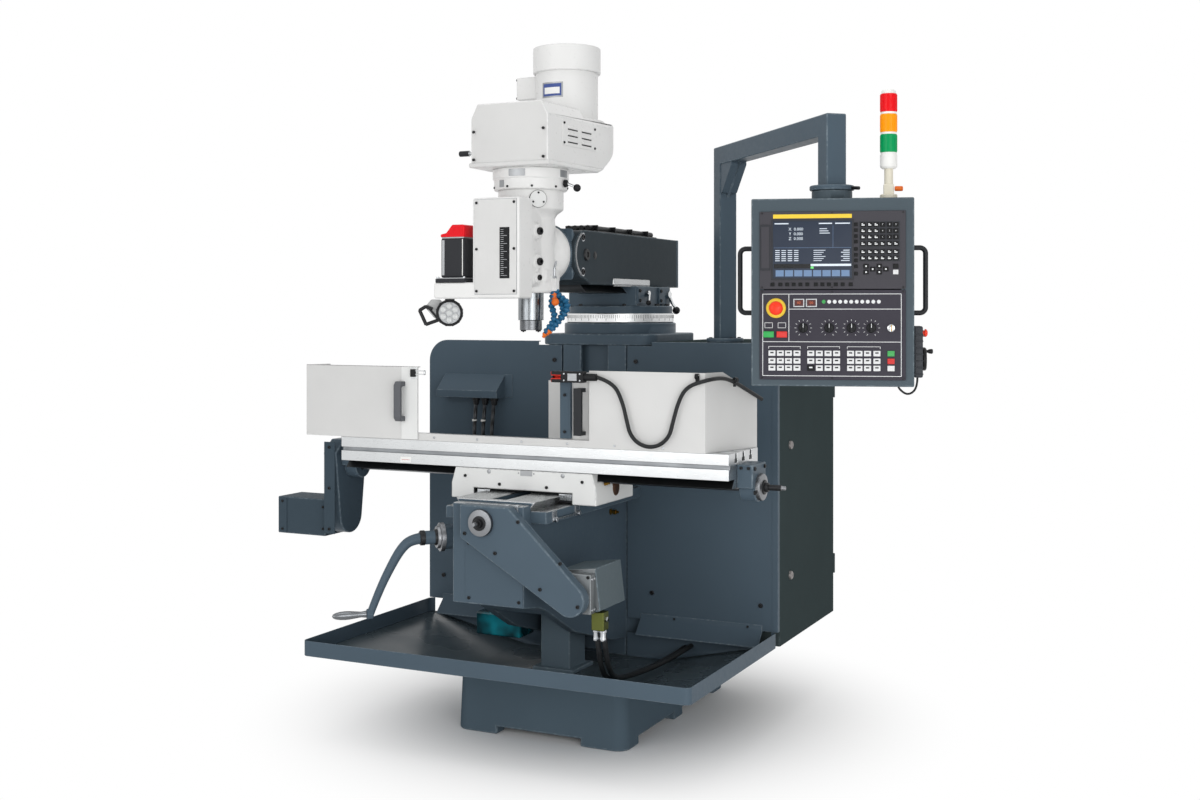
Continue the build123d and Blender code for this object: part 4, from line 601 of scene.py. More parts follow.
# Cast aluminium, tumbled: dull silver with a fine grit
coat = Finish("cast_aluminium", "#7c8082", Metallic=1.0, Roughness=0.46)
grit = coat.cloud(2.2, 3)
cast_aluminium = coat.driven(Roughness=coat.spread(grit, 0.36, 0.58), Normal=coat.relief(grit, 0.4, 0.0005))
# Anodised manifold block: an olive tint over satin aluminium
olive = brushed("olive_anodised_aluminium", "#5a5f33", 0.40, (3, 3, 12), 2, 0.0001)
# Enamel of the servo's case: smooth mid grey, less blue than the castings
servo_paint = enamel("servo_grey_enamel", "#545f64", 0.42, 0.05)
cover_front, cross_z, servo_side = -785, 741, 342
flange_front, flange_foot, manifold_side, manifold_top, manifold_y = -718, 489, 322, 497, (-714, -674)
dressed("cross_belt_cover", 5, 3)
settle("cross_cover_body", casting_paint, "knee", "machine_paint", "cross_belt_cover")
screws(0, cover_front, ((46, 654), (262, 640), (196, 560), (318, 520), (123, 751), (-58, 706)), 5.5)
settle("cross_cover_screws", black_steel_and_rim_shade, "knee", "machine_paint")
lathe(facing(0, 0, knee_front, cross_z), ((0, -680), (15, -680), (16, -678), (16, 0), (12, 2), (12, 36)), 0, 24)
dial(facing(0, 0, cover_front - 0.4, cross_z), 49)
settle("cross_dial", [dial_steel, black_steel_and_rim_shade, ink_and_opening_shade], "cross_screw", "ground_steel", "cross_screw")
dressed("cross_servo", 3, 3)
recolour(1, lambda spot, out: spot.y < flange_front and spot.z > flange_foot and spot.x < servo_side + 5)
recolour(2, lambda spot, out: (spot.x > manifold_side and spot.z < manifold_top
                               and manifold_y[0] < spot.y < manifold_y[1]))
settle("cross_servo_body", [servo_paint, cast_aluminium, olive], "knee", "servo_paint", "cross_servo")
for number in range(2):
    fitting = turned(at(pump_x + hose_pitch * number, pump_y, 439), 180, "X")
    lathe(fitting, ((0, -2), (11, -2), (11, 6), (8.6, 7), (8.6, 22), (9.6, 24), (9.6, 30), (8, 32)),
          0, 6 + 8 * number)
lathe(facing(90, 365, pump_y, 472), ((8, -2), (8, 4), (5, 5), (5, 7)), 0, 6)
screws(90, servo_side, [(y, z) for y in (-742, -728) for z in (505, 594)], 4.5)
settle("manifold_fittings", zinc, "knee", "ground_steel")
screws(0, knee_front, ((246, 600), (334, 600)), 5)
settle("servo_flange_screws", black_steel_and_rim_shade, "knee", "machine_paint")


# Lift crank: a bent iron arm on the knee's left front corner, painted like the castings, with a turned dial behind it.
# Its steel grip is polished and spins on a pin at the arm's end.
def lay(holder, place=Matrix.Identity(4), mat=0):
    """Adds an object's shape to the mesh in hand, on a place, and discards the object."""
    for face in bm.faces:
        face.tag = True
    shape = bpy.data.meshes.new_from_object(holder)
    shape.transform(place)
    bm.from_mesh(shape)
    for face in bm.faces:
        if not face.tag:
            face.material_index = mat
    bpy.data.objects.remove(holder)
    bpy.data.meshes.remove(shape)


# Burnished steel of the grip: a mid grey from hands and oil
grip_steel = brushed("burnished_grip_steel", "#707376", 0.26, (3, 3, 3), 1.5, 0.0001, 0.2)
crank_turn = -45
crank_seat = facing(crank_turn, -207, -690, 671)
crank_end = facing(crank_turn, -366.1, -849.1, 449)
bend = ((34, 0, 18), (76, 0, 16.5), (116, 22, 15), (166, 110, 13), (198, 182, 12), (214, 224, 11.5))
route = [crank_seat @ Vector((0, -down / 1000, out / 1000)) * 1000 for out, down, radius in bend]
arm = bent("crank_bend", route, 10, 1, 7)
for point, (out, down, radius) in zip(arm.data.splines[0].points, bend):
    point.radius = radius
lay(arm)
lathe(crank_seat, ((0, 1), (21, 1), (21, 58), (18, 61), (0, 61)), 0, 36)
lathe(crank_end, ((0, -20), (13, -20), (15.5, -17), (15.5, -2), (13, 0), (0, 0)), 0, 32)
settle("crank_arm", casting_paint, "lift_crank", "machine_paint", "lift_crank")
lathe(crank_seat, ((24.8, -1), (24.8, 9), (27, 10), (33, 9.4), (34.5, 7), (35, 1), (42, 0.6), (44, -1), (44, -13)),
      0, 48)
settle("crank_dial", dial_steel, "knee", "ground_steel")
lathe(crank_seat, ((21.2, 1.2), (24, 1.2), (24.3, 3), (24.3, 14), (23, 16), (21.2, 16)), 0, 32)
lathe(crank_seat, ((21.2, 46), (23, 47), (23, 59), (20, 62), (9, 62.5), (0, 62.5)), 0, 28)
settle("crank_collars", black_steel_and_rim_shade, "lift_crank", "machine_paint")
lathe(crank_end, ((0, 0.6), (9.5, 0.6), (10.4, 3), (9.6, 9), (8.6, 16), (10.4, 32), (12.6, 52), (13, 66), (12.2, 80),
                  (9.6, 93), (5.6, 101), (0, 104)), 0, 28)
settle("crank_grip_body", grip_steel, "crank_grip", "polished_steel", "crank_grip")

# Saddle: a white-painted casting that carries the table across the knee, with scraped ways above and below.
# Rubber wipers with steel backing strips close the ways at its front, and a plain scale plate is riveted there.
# White enamel: clean, with a soft gloss that greys at rubbed edges; on the left door's folded edge strip it is a
# painted highlight
white_enamel_and_fold_highlight = enamel("white_casting_enamel", "#d9dad9", 0.34, 0.16, 0.3, "#a9abab", 0.2)
# Oiled iron: machined faces left bare and kept dark by oil; in the saddle's front recess its darkness is painted shade
oiled_iron_and_recess_shade = brushed("oiled_cast_iron", "#3c3e40", 0.40, (4, 12, 12), 3, 0.0003, 0.2)
# Bare anodised plate stock: pale satin silver; also drawn as a painted shadow line round the drive lid and a painted
# highlight on the quill servo
plate_stock_and_painted_lines = brushed("anodised_plate", "#9a9c9e", 0.40, (1, 12, 12), 1.5, 0.0001)
# Bronze shoe at the clamp: dull brown, rubbed
bronze = brushed("bronze_shoe", "#6e5140", 0.44, (4, 4, 4), 3, 0.0003, 0.3)
saddle_front, saddle_side, wiper_face, strip_face = -538, 257, -519, -523
lower_way, upper_way, recess_half, recess_top = 772, 870.5, 174.5, 808.5
dressed("saddle_casting", 4, 3)
recolour(1, lambda spot, out: spot.z < lower_way or spot.z > upper_way and out.z > 0.7)
# The faces inside the front recess take the dark oiled iron as painted shade in the recess
recolour(2, lambda spot, out: (saddle_front + 1 < spot.y < saddle_front + 38 and abs(spot.x) < recess_half
                               and lower_way < spot.z < recess_top))
settle("saddle_body", [white_enamel_and_fold_highlight, way_steel, oiled_iron_and_recess_shade], "saddle", "light_paint", "saddle_casting")
screws(0, saddle_front, ((-80, 824), (87, 822), (-205, 845), (210, 845)), 5)
settle("saddle_screws", black_steel_and_rim_shade, "saddle", "machine_paint")
slab(facing(0, 0, saddle_front, 0), (-6, 36), (854, 870), (-0.5, 0.9), 0.3)
screws(0, saddle_front, ((-12, 862), (42, 862)), 2.2)
for x, z in ((-119, 862), (143, 861)):
    lathe(facing(0, x, saddle_front, z), ((0, 0.8), (5, 1.6), (7, 0.6), (7.4, -1)), 0, 20)
settle("saddle_plate", plate_stock_and_painted_lines, "saddle", "light_paint")
for low, high in ((-172, -120), (120, 172)):
    slab(facing(0, 0, wiper_face, 0), (low, high), (776, 806), (-1, 4), 1.2, 0)
    slab(facing(0, 0, strip_face, 0), (low + 3, high - 3), (784, 803), (-0.5, 1.8), 0.5, 1)
    screws(0, strip_face - 1.8, ((low + 12, 794), (high - 12, 794)), 3, 1)
settle("way_wipers", [rubber, zinc], "saddle", "black_rubber")
lathe(facing(90, saddle_side, -473, 838),
      ((0, 16), (3, 16), (4, 12), (4, 8), (7, 7), (7, 1), (9, 0.5), (9, -1)), 0, 6)
settle("saddle_oil_nipple", brass, "saddle", "key_metal")
lathe(facing(90, saddle_side, -395, 815) @ Matrix.Diagonal((1.5, 1, 1, 1)),
      ((0, 1.5), (12, 1.5), (14, 0.5), (16, 0.8), (17, -1)), 0, 28)
settle("saddle_clamp_shoe", bronze, "saddle", "ground_steel")

# Work table: ground cast iron with three tee slots and a dog groove along its front.
# Grinding leaves fine lines along it, and the underside and ways are dark with oil.
# Ground iron: pale silver with lines along the table
table_iron = brushed("ground_table_iron", "#c9cbcc", 0.32, (1, 16, 16), 2.5, 0.0002, 0.07)
# Iron of the dog groove: milled, not ground, so it is duller; its darker grey is painted shade in the groove
groove_shade_iron = brushed("milled_groove_shade_iron", "#94979a", 0.5, (1, 10, 10), 6, 0.0006, 0.3)
# White film of the front plate: satin
plate_white = moulded("white_film", "#e8e8e6", 0.35)
# Red ink of its bar: flat
red_ink = moulded("red_ink", "#b3262a", 0.45)
table_front, table_foot, groove_low, groove_high = -538, 873.5, 904.5, 917.5
dressed("work_table", 1.2)
recolour(1, lambda spot, out: spot.z < table_foot and spot.y > table_front + 1 or out.z < -0.5)
# The dog groove's faces take the darker iron: painted shade in the groove
recolour(2, lambda spot, out: groove_low < spot.z < groove_high and table_front + 0.4 < spot.y < table_front + 11)
settle("table_body", [table_iron, oiled_iron_and_recess_shade, groove_shade_iron], "table", "ground_steel", "work_table")
slab(facing(0, 0, table_front, 0), (-451, -410), (876, 894), (-0.5, 0.9), 0.3, 0)
slab(facing(0, 0, table_front, 0), (-446, -415), (884.2, 885.4), (0.8, 1.1), 0, 1)
settle("table_front_plate", [plate_white, red_ink], "table", "light_paint")

# End brackets: iron castings bolted to the table's ends, painted like the knee.
# They carry the bearings of the table's screw, and the right one its dial.
bracket_face, bracket_front, screw_y, screw_z = 735, -470, -411, 845
dressed("end_brackets", 4, 3)
settle("bracket_bodies", casting_paint, "table", "machine_paint", "end_brackets")
screws(90, bracket_face, [(y, z) for y in (-455, -367) for z in (903, 832)], 6)
screws(0, bracket_front, [(x, 905) for x in (699, 722, -699, -722)], 5)
settle("bracket_screws", black_steel_and_rim_shade, "table", "machine_paint")
right_end = facing(90, bracket_face + 0.4, screw_y, screw_z)
lathe(right_end, ((0, -1496), (15, -1496), (16, -1494), (16, -4), (12, -1), (12, 1)), 0, 24)
dial(right_end, 81)
settle("table_dial", [dial_steel, black_steel_and_rim_shade, ink_and_opening_shade], "table_screw", "ground_steel", "table_screw")

# Table feed: a belt housing on the left bracket with the servo hung on its outer side, both in slate paint.
# A flat cover closes the housing, and the servo has a plugged terminal box and a bolted end cap.
# Enamel of the servo and covers: a darker slate than on the castings, darkened as painted shade on these front faces
shaded_cover_paint = enamel("shaded_cover_slate_enamel", "#3c4851", 0.5, 0.2, 0.3, "#76828a", 0.03)
housing_front, feed_servo_front, servo_end = -500, -476, -795
dressed("feed_belt_housing", 4, 3)
# The servo's faces take the darker slate: painted shade on its front
recolour(1, lambda spot, out: spot.x < servo_end)
settle("feed_housing", [casting_paint, shaded_cover_paint], "table", "machine_paint", "feed_belt_housing")
slab(facing(0, 0, housing_front, 0), (-783, -739), (616, 926), (-1, 2), 1.2)
slab(facing(0, 0, feed_servo_front, 0), (-992, -958), (606, 722), (-1, 3), 1.2)
settle("feed_covers", shaded_cover_paint, "table", "machine_paint")
screws(0, housing_front - 2, [(-761, z) for z in (632, 770, 908)], 5)
screws(0, feed_servo_front, ((-806, 700), (-806, 626)), 4.5)
screws(0, feed_servo_front - 3, ((-975, 712), (-975, 616)), 4.5)
settle("feed_screws", black_steel_and_rim_shade, "table", "machine_paint")

# Table guard: light-grey powder-coated sheet folded around the back and right of the table, open at the left.
# It stands on a rail along the table's front edge, and its front panel slopes down behind the corner.
# Powder coat of the guard: light grey, satin, with a fine even grain
guard_paint = enamel("light_grey_powder_coat", "#cbcbca", 0.44, 0.04, 0.4, "#c2c3c3", 0.12)
rail_front, rail_screw_z = -541, 961
dressed("table_guard", 0.9)
settle("guard_sheets", guard_paint, "table", "light_paint", "table_guard")
screws(0, rail_front, [(x, rail_screw_z) for x in range(-640, 481, 160)], 3.6)
settle("rail_screws", zinc, "table", "ground_steel")


# Sliding doors: a light-grey sheet at the left with a folded edge and a plastic handle, and a narrower one
# behind the guard at the right with a steel stiffener, a handle and the interlock switch.
def bar(place, outline, low, high, soft, mat=0):
    """A bar with a drawn outline on a place's first two axes, in millimetres, from low to high on its third."""
    corners = [bm.verts.new(place @ Vector((x / 1000, y / 1000, low / 1000))) for x, y in outline]
    first = bm.faces.new(corners)
    grown = bmesh.ops.extrude_face_region(bm, geom=[first])
    tops = [v for v in grown["geom"] if isinstance(v, bmesh.types.BMVert)]
    rise = place.to_3x3() @ Vector((0, 0, (high - low) / 1000))
    bmesh.ops.translate(bm, verts=tops, vec=rise)
    faces = once(f for v in corners + tops for f in v.link_faces)
    bmesh.ops.recalc_face_normals(bm, faces=faces)
    for face in faces:
        face.material_index = mat
    bmesh.ops.bevel(bm, geom=once(e for f in faces for e in f.edges), offset=soft / 1000, offset_type="OFFSET",
                    segments=2, profile=0.5, affect="EDGES", clamp_overlap=True, material=-1)


# Black handle nylon: a soft sheen over a coarse spark texture
black_grip = moulded("black_handle_nylon", "#222427", 0.40, 0.9)
# Grey handle nylon: the same, worn smoother by hands
grey_grip = moulded("grey_handle_nylon", "#5a5c60", 0.32, 0.9)
# Polished chrome: a clear mirror with faint smears
chrome = clouded("polished_chrome", "#d4d6d7", 18, 4, 0.05, 0.2, Metallic=1.0, Roughness=0.10)
door_front, pull_x, pull_low, pull_high = -545, -439, 1011, 1140
leaf = facing(0, 0, door_front, 0)
slab(leaf, (-823, -379), (952, 1188), (-3, 0), 0.8)
# The folded edge strip takes the whiter saddle enamel: a painted highlight on the fold
slab(leaf, (-441, -379.5), (953, 1187), (-1, 3), 0.8, 1)
bar(Matrix.Identity(4), ((-823, -543), (-820, -543), (-790, -455), (-793, -455)), 975, 1188, 0.8)
slab(leaf, (-823, -379), (1185.4, 1188), (-15, 0), 0.8)
settle("left_door_sheet", [guard_paint, white_enamel_and_fold_highlight], "left_door", "light_paint", "left_guard_door")
slab(leaf, (-404, -382), (1148, 1186), (1, 5), 1, 0)
slab(leaf, (-401, -385), (1155, 1180), (4, 14), 2, 1)
for x, z in (((-390, -347), (1162, 1166)), ((-390, -347), (1173, 1177)), ((-352, -347), (1162, 1177))):
    slab(leaf, x, z, (5, 9), 0.8, 0)
settle("door_key", [chrome, black_nylon], "left_door", "key_metal")
pull_side = Matrix(((0, 0, 1, pull_x / 1000), (1, 0, 0, door_front / 1000), (0, 1, 0, 0), (0, 0, 0, 1)))
bar(pull_side, ((0.5, pull_low), (-24, pull_low), (-33.5, pull_low + 12), (-33.5, pull_high - 12), (-24, pull_high),
                (0.5, pull_high), (0.5, pull_high - 16), (-18, pull_high - 17), (-22, pull_high - 22),
                (-22, pull_low + 22), (-18, pull_low + 17), (0.5, pull_low + 16)), -13, 13, 2.6)
screws(0, door_front - 23, ((pull_x, pull_low + 8), (pull_x, pull_high - 8)), 3.4)
settle("left_door_pull", grey_grip, "left_door", "black_plastic")
right_sheet, stiffener_front, stiffener_edge, handle_edge, handle_top = -526.6, -541, 186, 222, 1140
dressed("right_guard_door", 0.9)
recolour(1, lambda spot, out: spot.y < right_sheet and (spot.x < stiffener_edge or spot.z > handle_top))
recolour(2, lambda spot, out: (spot.y < right_sheet and stiffener_edge <= spot.x < handle_edge
                               and spot.z <= handle_top))
settle("right_door_sheet", [guard_paint, sheet_paint, black_grip], "right_door", "light_paint", "right_guard_door")
screws(0, stiffener_front, ((151, 1110), (151, 997)), 4.5)
settle("right_door_bolts", black_steel_and_rim_shade, "right_door", "machine_paint")

# Interlock switch: a moulded body screwed to the right door, with a red head that takes the left door's key.
# Its cable hangs in a loop in front of the guard and goes over the guard's right end, held by two nylon clips.
# Red nylon of the head: bright, with a soft sheen
red_nylon = moulded("red_nylon", "#d23a2e", 0.36, gloss=0.1)
switch_front, head_edge = -575, 152
dressed("interlock_switch", 2.4)
recolour(1, lambda spot, out: spot.x < head_edge)
settle("switch_body", [black_nylon, red_nylon], "right_door", "red_plastic", "interlock_switch")
screws(0, switch_front, [(x, z) for x in (166, 220) for z in (1157, 1177)], 2.6)
slab(facing(0, 0, switch_front, 0), (178, 209), (1156, 1178), (-0.5, 0.5), 0.3, 1)
settle("switch_screws", [zinc, plate_stock_and_painted_lines], "right_door", "key_metal")
switch_x, switch_y, switch_z = 273, -561, 1167
end_x, end_y, end_z, end_lean = 631, -541, 1186, 70 / 257
route = [(switch_x, switch_y, switch_z)]
for along, down in ((50, 14), (80, 67), (96, 130), (106, 168), (133, 195), (170, 205), (207, 195), (234, 168),
                    (244, 130), (262, 67), (288, 21), (354, 0)):
    route.append((switch_x + along, switch_y + 3, switch_z - down))
for back, down in ((52, 15), (104, 26), (172, 54), (252, 88)):
    route.append((end_x + end_lean * back, end_y + back, end_z - down))
hose("switch_cable", route, 6, "right_door", "switch_conduit", reach=("table", (0.29, 0, 0), (0.55, 0, 0)))
for turn, x, y, z in ((0, 590, -543, 1172), (75, 663, -430, 1158)):
    clip = facing(turn, x, y, z)
    slab(clip, (-6, 6), (-16, 6), (-1, 3), 1)
    lathe(turned(clip @ at(0, 4, 4), 90, "Y"), ((6, -5), (8.5, -5), (8.5, 5), (6, 5)), 0, 14)
settle("cable_clips", black_nylon, "table", "black_rubber")


# Turret: an iron saddle that swivels on the column's seat, with a graduated ring and a dovetail for the ram.
# Gib plates and clamp levers hold the ram from the right.
def rod(start, end, radius, mat=0, steps=14):
    """A round bar with eased ends between two points, in millimetres."""
    run = Vector(end) - Vector(start)
    place = at(*start) @ run.to_track_quat("Z", "Y").to_matrix().to_4x4()
    ease = radius * 0.3
    lathe(place, ((0, -ease), (radius - ease, -ease), (radius, 0), (radius, run.length),
                  (radius - ease, run.length + ease), (0, run.length + ease)), mat, steps)


def ball(centre, radius, mat=0):
    """A ball knob."""
    made = bmesh.ops.create_uvsphere(bm, u_segments=20, v_segments=12, radius=radius / 1000, matrix=at(*centre))
    for face in once(f for v in made["verts"] for f in v.link_faces):
        face.material_index = mat


# Turned aluminium of the graduated ring: nearly white
ring_aluminium = brushed("turned_ring_aluminium", "#e9eaea", 0.42, (3, 3, 10), 2, 0.0001, 0.03)
turret_y, ring_radius, ring_top, bolt_circle, turret_side = 190, 191, 1359.5, 168, 131
dressed("turret_saddle", 4, 3)
recolour(1, lambda spot, out: spot.z < ring_top and abs(out.z) < 0.5)
settle("turret_body", [casting_paint, ring_aluminium], "turret", "machine_paint", "turret_saddle")
for count in range(180):
    low = 1342 if count % 5 else 1334
    slab(turned(at(0, turret_y, 0), 2 * count), (ring_radius - 0.2, ring_radius + 0.3), (-0.6, 0.6), (low, 1354))
settle("turret_marks", ink_and_opening_shade, "turret", "black_plastic")
gib_y = (66, 250)
for y in gib_y:
    slab(facing(90, turret_side, 0, 0), (y - 26, y + 26), (1392, 1450), (-1, 7), 2)
settle("gib_plates", casting_paint, "turret", "machine_paint")
screws(90, turret_side + 7, [(y - 12, z) for y in gib_y for z in (1404, 1438)], 6)
for angle in (30, 75, 120, -30, -75, -120, 165, -165):
    x = bolt_circle * math.sin(math.radians(angle))
    y = turret_y - bolt_circle * math.cos(math.radians(angle))
    screw(at(x, y, 1385), 9)
settle("turret_screws", black_steel_and_rim_shade, "turret", "machine_paint")
lathe(facing(90, turret_side, 118, 1428), ((0, 16), (9, 16), (11, 14), (11, 0)), 0, 20)
rod((145, 118, 1428), (168, 60, 1398), 5)
ball((170, 56, 1396), 9, 1)
settle("turret_clamp", [chrome, black_nylon], "turret", "polished_steel")
hub_y, hub_z = 312, 1426
lathe(facing(90, turret_side + 0.4, hub_y, hub_z), ((0, 12), (11, 12), (14, 10), (14, 0), (0, 0)), 0, 24)
rod((137, hub_y, hub_z), (145, hub_y + 11, 1396), 6)
rod((145, hub_y + 11, 1396), (155, hub_y + 19, 1378), 5.4)
ball((157, hub_y + 22, 1369.6), 14, 1)
settle("ram_lock_handle", [chrome, black_nylon], "ram_lock", "polished_steel", "ram_lock_lever")

# Ram: a long dovetailed casting that slides in the turret, moved by a rack along its right side.
# Its nose carries the adapter on a large pivot with a graduated arc and clamp bolts.
# Enamel of the ram: a darker mix than the column's
ram_paint = enamel("dark_slate_casting_enamel", "#363e43", 0.36, 0.2, 0.3, "#6a757b", 0.02)
ram_side, pivot_y, pivot_z, rack_top, dovetail_top, clamp_y = 106, -300, 1550, 1480, 1453, -322
pivot = facing(90, ram_side, pivot_y, pivot_z)
dressed("ram_casting", 5, 3)
recolour(1, lambda spot, out: spot.x > ram_side + 0.3 and spot.z < rack_top)
recolour(2, lambda spot, out: spot.z < dovetail_top)
settle("ram_body", [ram_paint, way_steel, oiled_iron_and_recess_shade], "ram", "machine_paint", "ram_casting")
for y in range(-96, 200, 10):
    slab(facing(90, ram_side, y, 0), (-2.2, 2.2), (1450.5, 1457), (1, 6.6), 1.4)
settle("rack_teeth", way_steel, "ram", "ground_steel")
lathe(turned(pivot, 118), ((70, 0), (70, 1.2), (78.5, 1.2), (78.5, 0), (70, 0)), 0, 40, 124)
settle("nod_scale", plate_stock_and_painted_lines, "ram", "ground_steel")
for count in range(25):
    slab(turned(pivot, 120 + 5 * count), (74.5 if count % 3 else 71.5, 78), (-0.5, 0.5), (1, 1.4))
settle("nod_marks", ink_and_opening_shade, "ram", "black_plastic")
for z in (1606, 1494):
    lathe(facing(90, ram_side, clamp_y, z), ((14, -1), (14, 0.6), (11, 0.6), (10, 0.1)), 1, 24)
    screw(facing(90, ram_side - 4, clamp_y, z), 10)
lathe(pivot, ((0, 3), (9, 3), (10, 6), (17, 6), (19, 4), (20, 0)), 0, 28)
lathe(facing(90, ram_side, -234, pivot_z), ((0, 1.5), (9, 1.5), (11, 0.4), (13, 0.8), (13.5, -1)), 0, 24)
settle("ram_bolts", [black_steel_and_rim_shade, zinc], "ram", "machine_paint")

# Cable trough: black cables in a moulded trough screwed along the ram's top, under four nylon straps.
# A folded end plate in slate paint closes it at the rear.
plate_edge = 460.5
dressed("ram_cables", 1.6)
recolour(1, lambda spot, out: spot.y > plate_edge)
settle("cable_trough", [rubber, sheet_paint], "ram", "black_rubber", "ram_cables")
for y in (-120, 20, 160, 300):
    slab(facing(0, 0, y, 0), (-61, 61), (1629, 1657), (-3, 3), 1.2)
settle("trough_straps", black_nylon, "ram", "black_plastic")

# Adapter: the painted iron casting between ram and head, pivoted on the ram's nose and faced for the head's flange.
# Degree marks are cut into its rim, where the head's tilt is read.
dressed("head_adapter", 4, 3)
settle("adapter_body", casting_paint, "adapter", "machine_paint", "head_adapter")
tilt_rim = facing(0, 0, -391, pivot_z)
for count in range(90):
    slab(turned(tilt_rim, 4 * count), (97.8, 98.3), (-0.5, 0.5), (-10 if count % 5 else -14, -3))
settle("tilt_marks", ink_and_opening_shade, "adapter", "black_plastic")


# Head casting: a white-painted barrel for the quill that swells into a round flange at the back.
# It is cast in one piece, so its parts run into each other with wide fillets.
def cast(grain, rounds):
    """Runs the solids in hand together as one casting with filleted inside corners; grain in millimetres."""
    rough = bpy.data.meshes.new("pattern")
    bm.to_mesh(rough)
    bm.clear()
    holder = bpy.data.objects.new("pattern", rough)
    scene.collection.objects.link(holder)
    run = holder.modifiers.new("run_together", "REMESH")
    run.mode = "VOXEL"
    run.voxel_size = grain / 1000
    bpy.context.view_layer.update()
    made = bpy.data.meshes.new_from_object(holder.evaluated_get(bpy.context.evaluated_depsgraph_get()))
    bpy.data.objects.remove(holder)
    bm.from_mesh(made)
    bpy.data.meshes.remove(made)
    for _ in range(rounds):
        bmesh.ops.smooth_vert(bm, verts=bm.verts, factor=0.5, use_axis_x=True, use_axis_y=True, use_axis_z=True)
    bmesh.ops.recalc_face_normals(bm, faces=bm.faces)


# White enamel of the head: brighter and smoother than the saddle's
head_white = enamel("white_head_enamel", "#dddddc", 0.30, 0.14, 0.25, "#c3c5c5", 0.25)
spindle_y, flange_face, flange_back, flange_circle, cap_turn, cap_out = -480, -389, -409, 87, 41, 103
axis = at(0, spindle_y, 0)
lathe(axis, ((0, 1424), (70, 1424), (76, 1430), (76, 1660), (84, 1672), (103.5, 1686), (103.5, 1746), (0, 1746)),
      0, 64)
lathe(facing(0, 0, flange_face, pivot_z),
      ((0, 0), (96, 0), (96, 20), (91, 34), (82, 48), (76, 62), (72, 92), (0, 92)), 0, 64)
slab(facing(0, 0, -617, 0), (-61, 61), (1444, 1691), (-130, 0), 8)
bosses = [(facing(78, 54, -560, z), radius) for z, radius in ((1614, 24), (1520, 24), (1471, 18))]
for boss, radius in bosses:
    lathe(boss, ((0, -40), (radius + 4, -40), (radius, 20), (radius - 3, 22), (0, 22)), 0, 32)
right_wall, left_wall = facing(90, 60, spindle_y, 0), facing(-90, -60, spindle_y, 0)
slab(right_wall, (-40, 60), (1458, 1500), (-30, 16), 8)
slab(right_wall, (-30, 40), (1560, 1650), (-30, 12), 10)
slab(left_wall, (-40, 40), (1470, 1640), (-30, 12), 10)
cast(3, 5)
settle("head_body", head_white, "head", "head_paint", "head_casting", smooth=75)
for boss, radius in bosses:
    screw(boss @ at(0, 0, 20.5), radius / 2)
for count in range(8):
    angle = math.radians(22.5 + 45 * count)
    screw(facing(0, flange_circle * math.sin(angle), flange_back, pivot_z + flange_circle * math.cos(angle)), 5.5)
settle("head_screws", black_steel_and_rim_shade, "head", "machine_paint")
cap_angle = math.radians(cap_turn)
side_cap = facing(cap_turn, cap_out * math.sin(cap_angle), spindle_y - cap_out * math.cos(cap_angle), 1714)
lathe(side_cap, ((0, 5), (24, 5), (26, 4.2), (26.4, 3.4)), 0, 36)
# The black ring round the cap's rim is a painted shadow line where the cap stands out of the casting
lathe(side_cap, ((26.4, 3.4), (27.4, 3), (27.6, -8)), 1, 36)
for count in range(3):
    screw(turned(side_cap, 90 + 120 * count) @ at(19, 0, 5), 3.2, 1)
settle("head_side_cap", [white_enamel_and_fold_highlight, black_steel_and_rim_shade], "head", "ground_steel")

# Gear housing: a turned and painted iron ring above the head that holds the back gear.
# Small bare plates are riveted around it, and socket screws hold it down to the head.
skirt, rim = 116, 120
lathe(axis, ((0, 1745), (113, 1745), (skirt, 1748), (skirt, 1775), (117.5, 1778.5), (rim, 1781), (rim, 1809),
             (117, 1812), (0, 1812)), 0, 72)
settle("gear_ring", head_white, "head", "head_paint", "gear_housing")
for turn, sweep, skin, low, high in (
        (-118, 11, skirt, 1752, 1774), (-96, 26, rim, 1784, 1806), (-12, 20, rim, 1784, 1806)):
    lathe(turned(axis, turn), ((skin - 0.4, low), (skin + 0.9, low), (skin + 0.9, high), (skin - 0.4, high),
                               (skin - 0.4, low)), 0, 8, sweep)
settle("gear_plates", plate_stock_and_painted_lines, "head", "ground_steel")
for angle in range(20, 360, 40):
    screw(turned(turned(axis, angle) @ at(skirt, 0, 1753.5), 90, "Y"), 3.6)
settle("gear_screws", black_steel_and_rim_shade, "head", "machine_paint")

# Speed and brake levers: chromed steel rods in black hubs, with a ball and a bar of black nylon to hold.
# The speed lever turns at the right of the gear housing, the brake lever at the left of the belt housing.
speed_z, grip_edge = 1765, -176
lathe(facing(90, 120.4, spindle_y, speed_z), ((0, 10), (8, 10), (11, 8), (12, 0), (0, 0)), 1, 24)
rod((128, spindle_y, speed_z), (160, spindle_y, 1752), 4.2)
ball((163, spindle_y, 1750), 12, 1)
settle("speed_lever_body", [chrome, black_nylon], "speed_lever", "black_plastic", "speed_lever")
dressed("brake_lever", 2)
recolour(1, lambda spot, out: spot.x < grip_edge)
settle("brake_lever_body", [chrome, black_grip], "brake_lever", "black_plastic", "brake_lever")

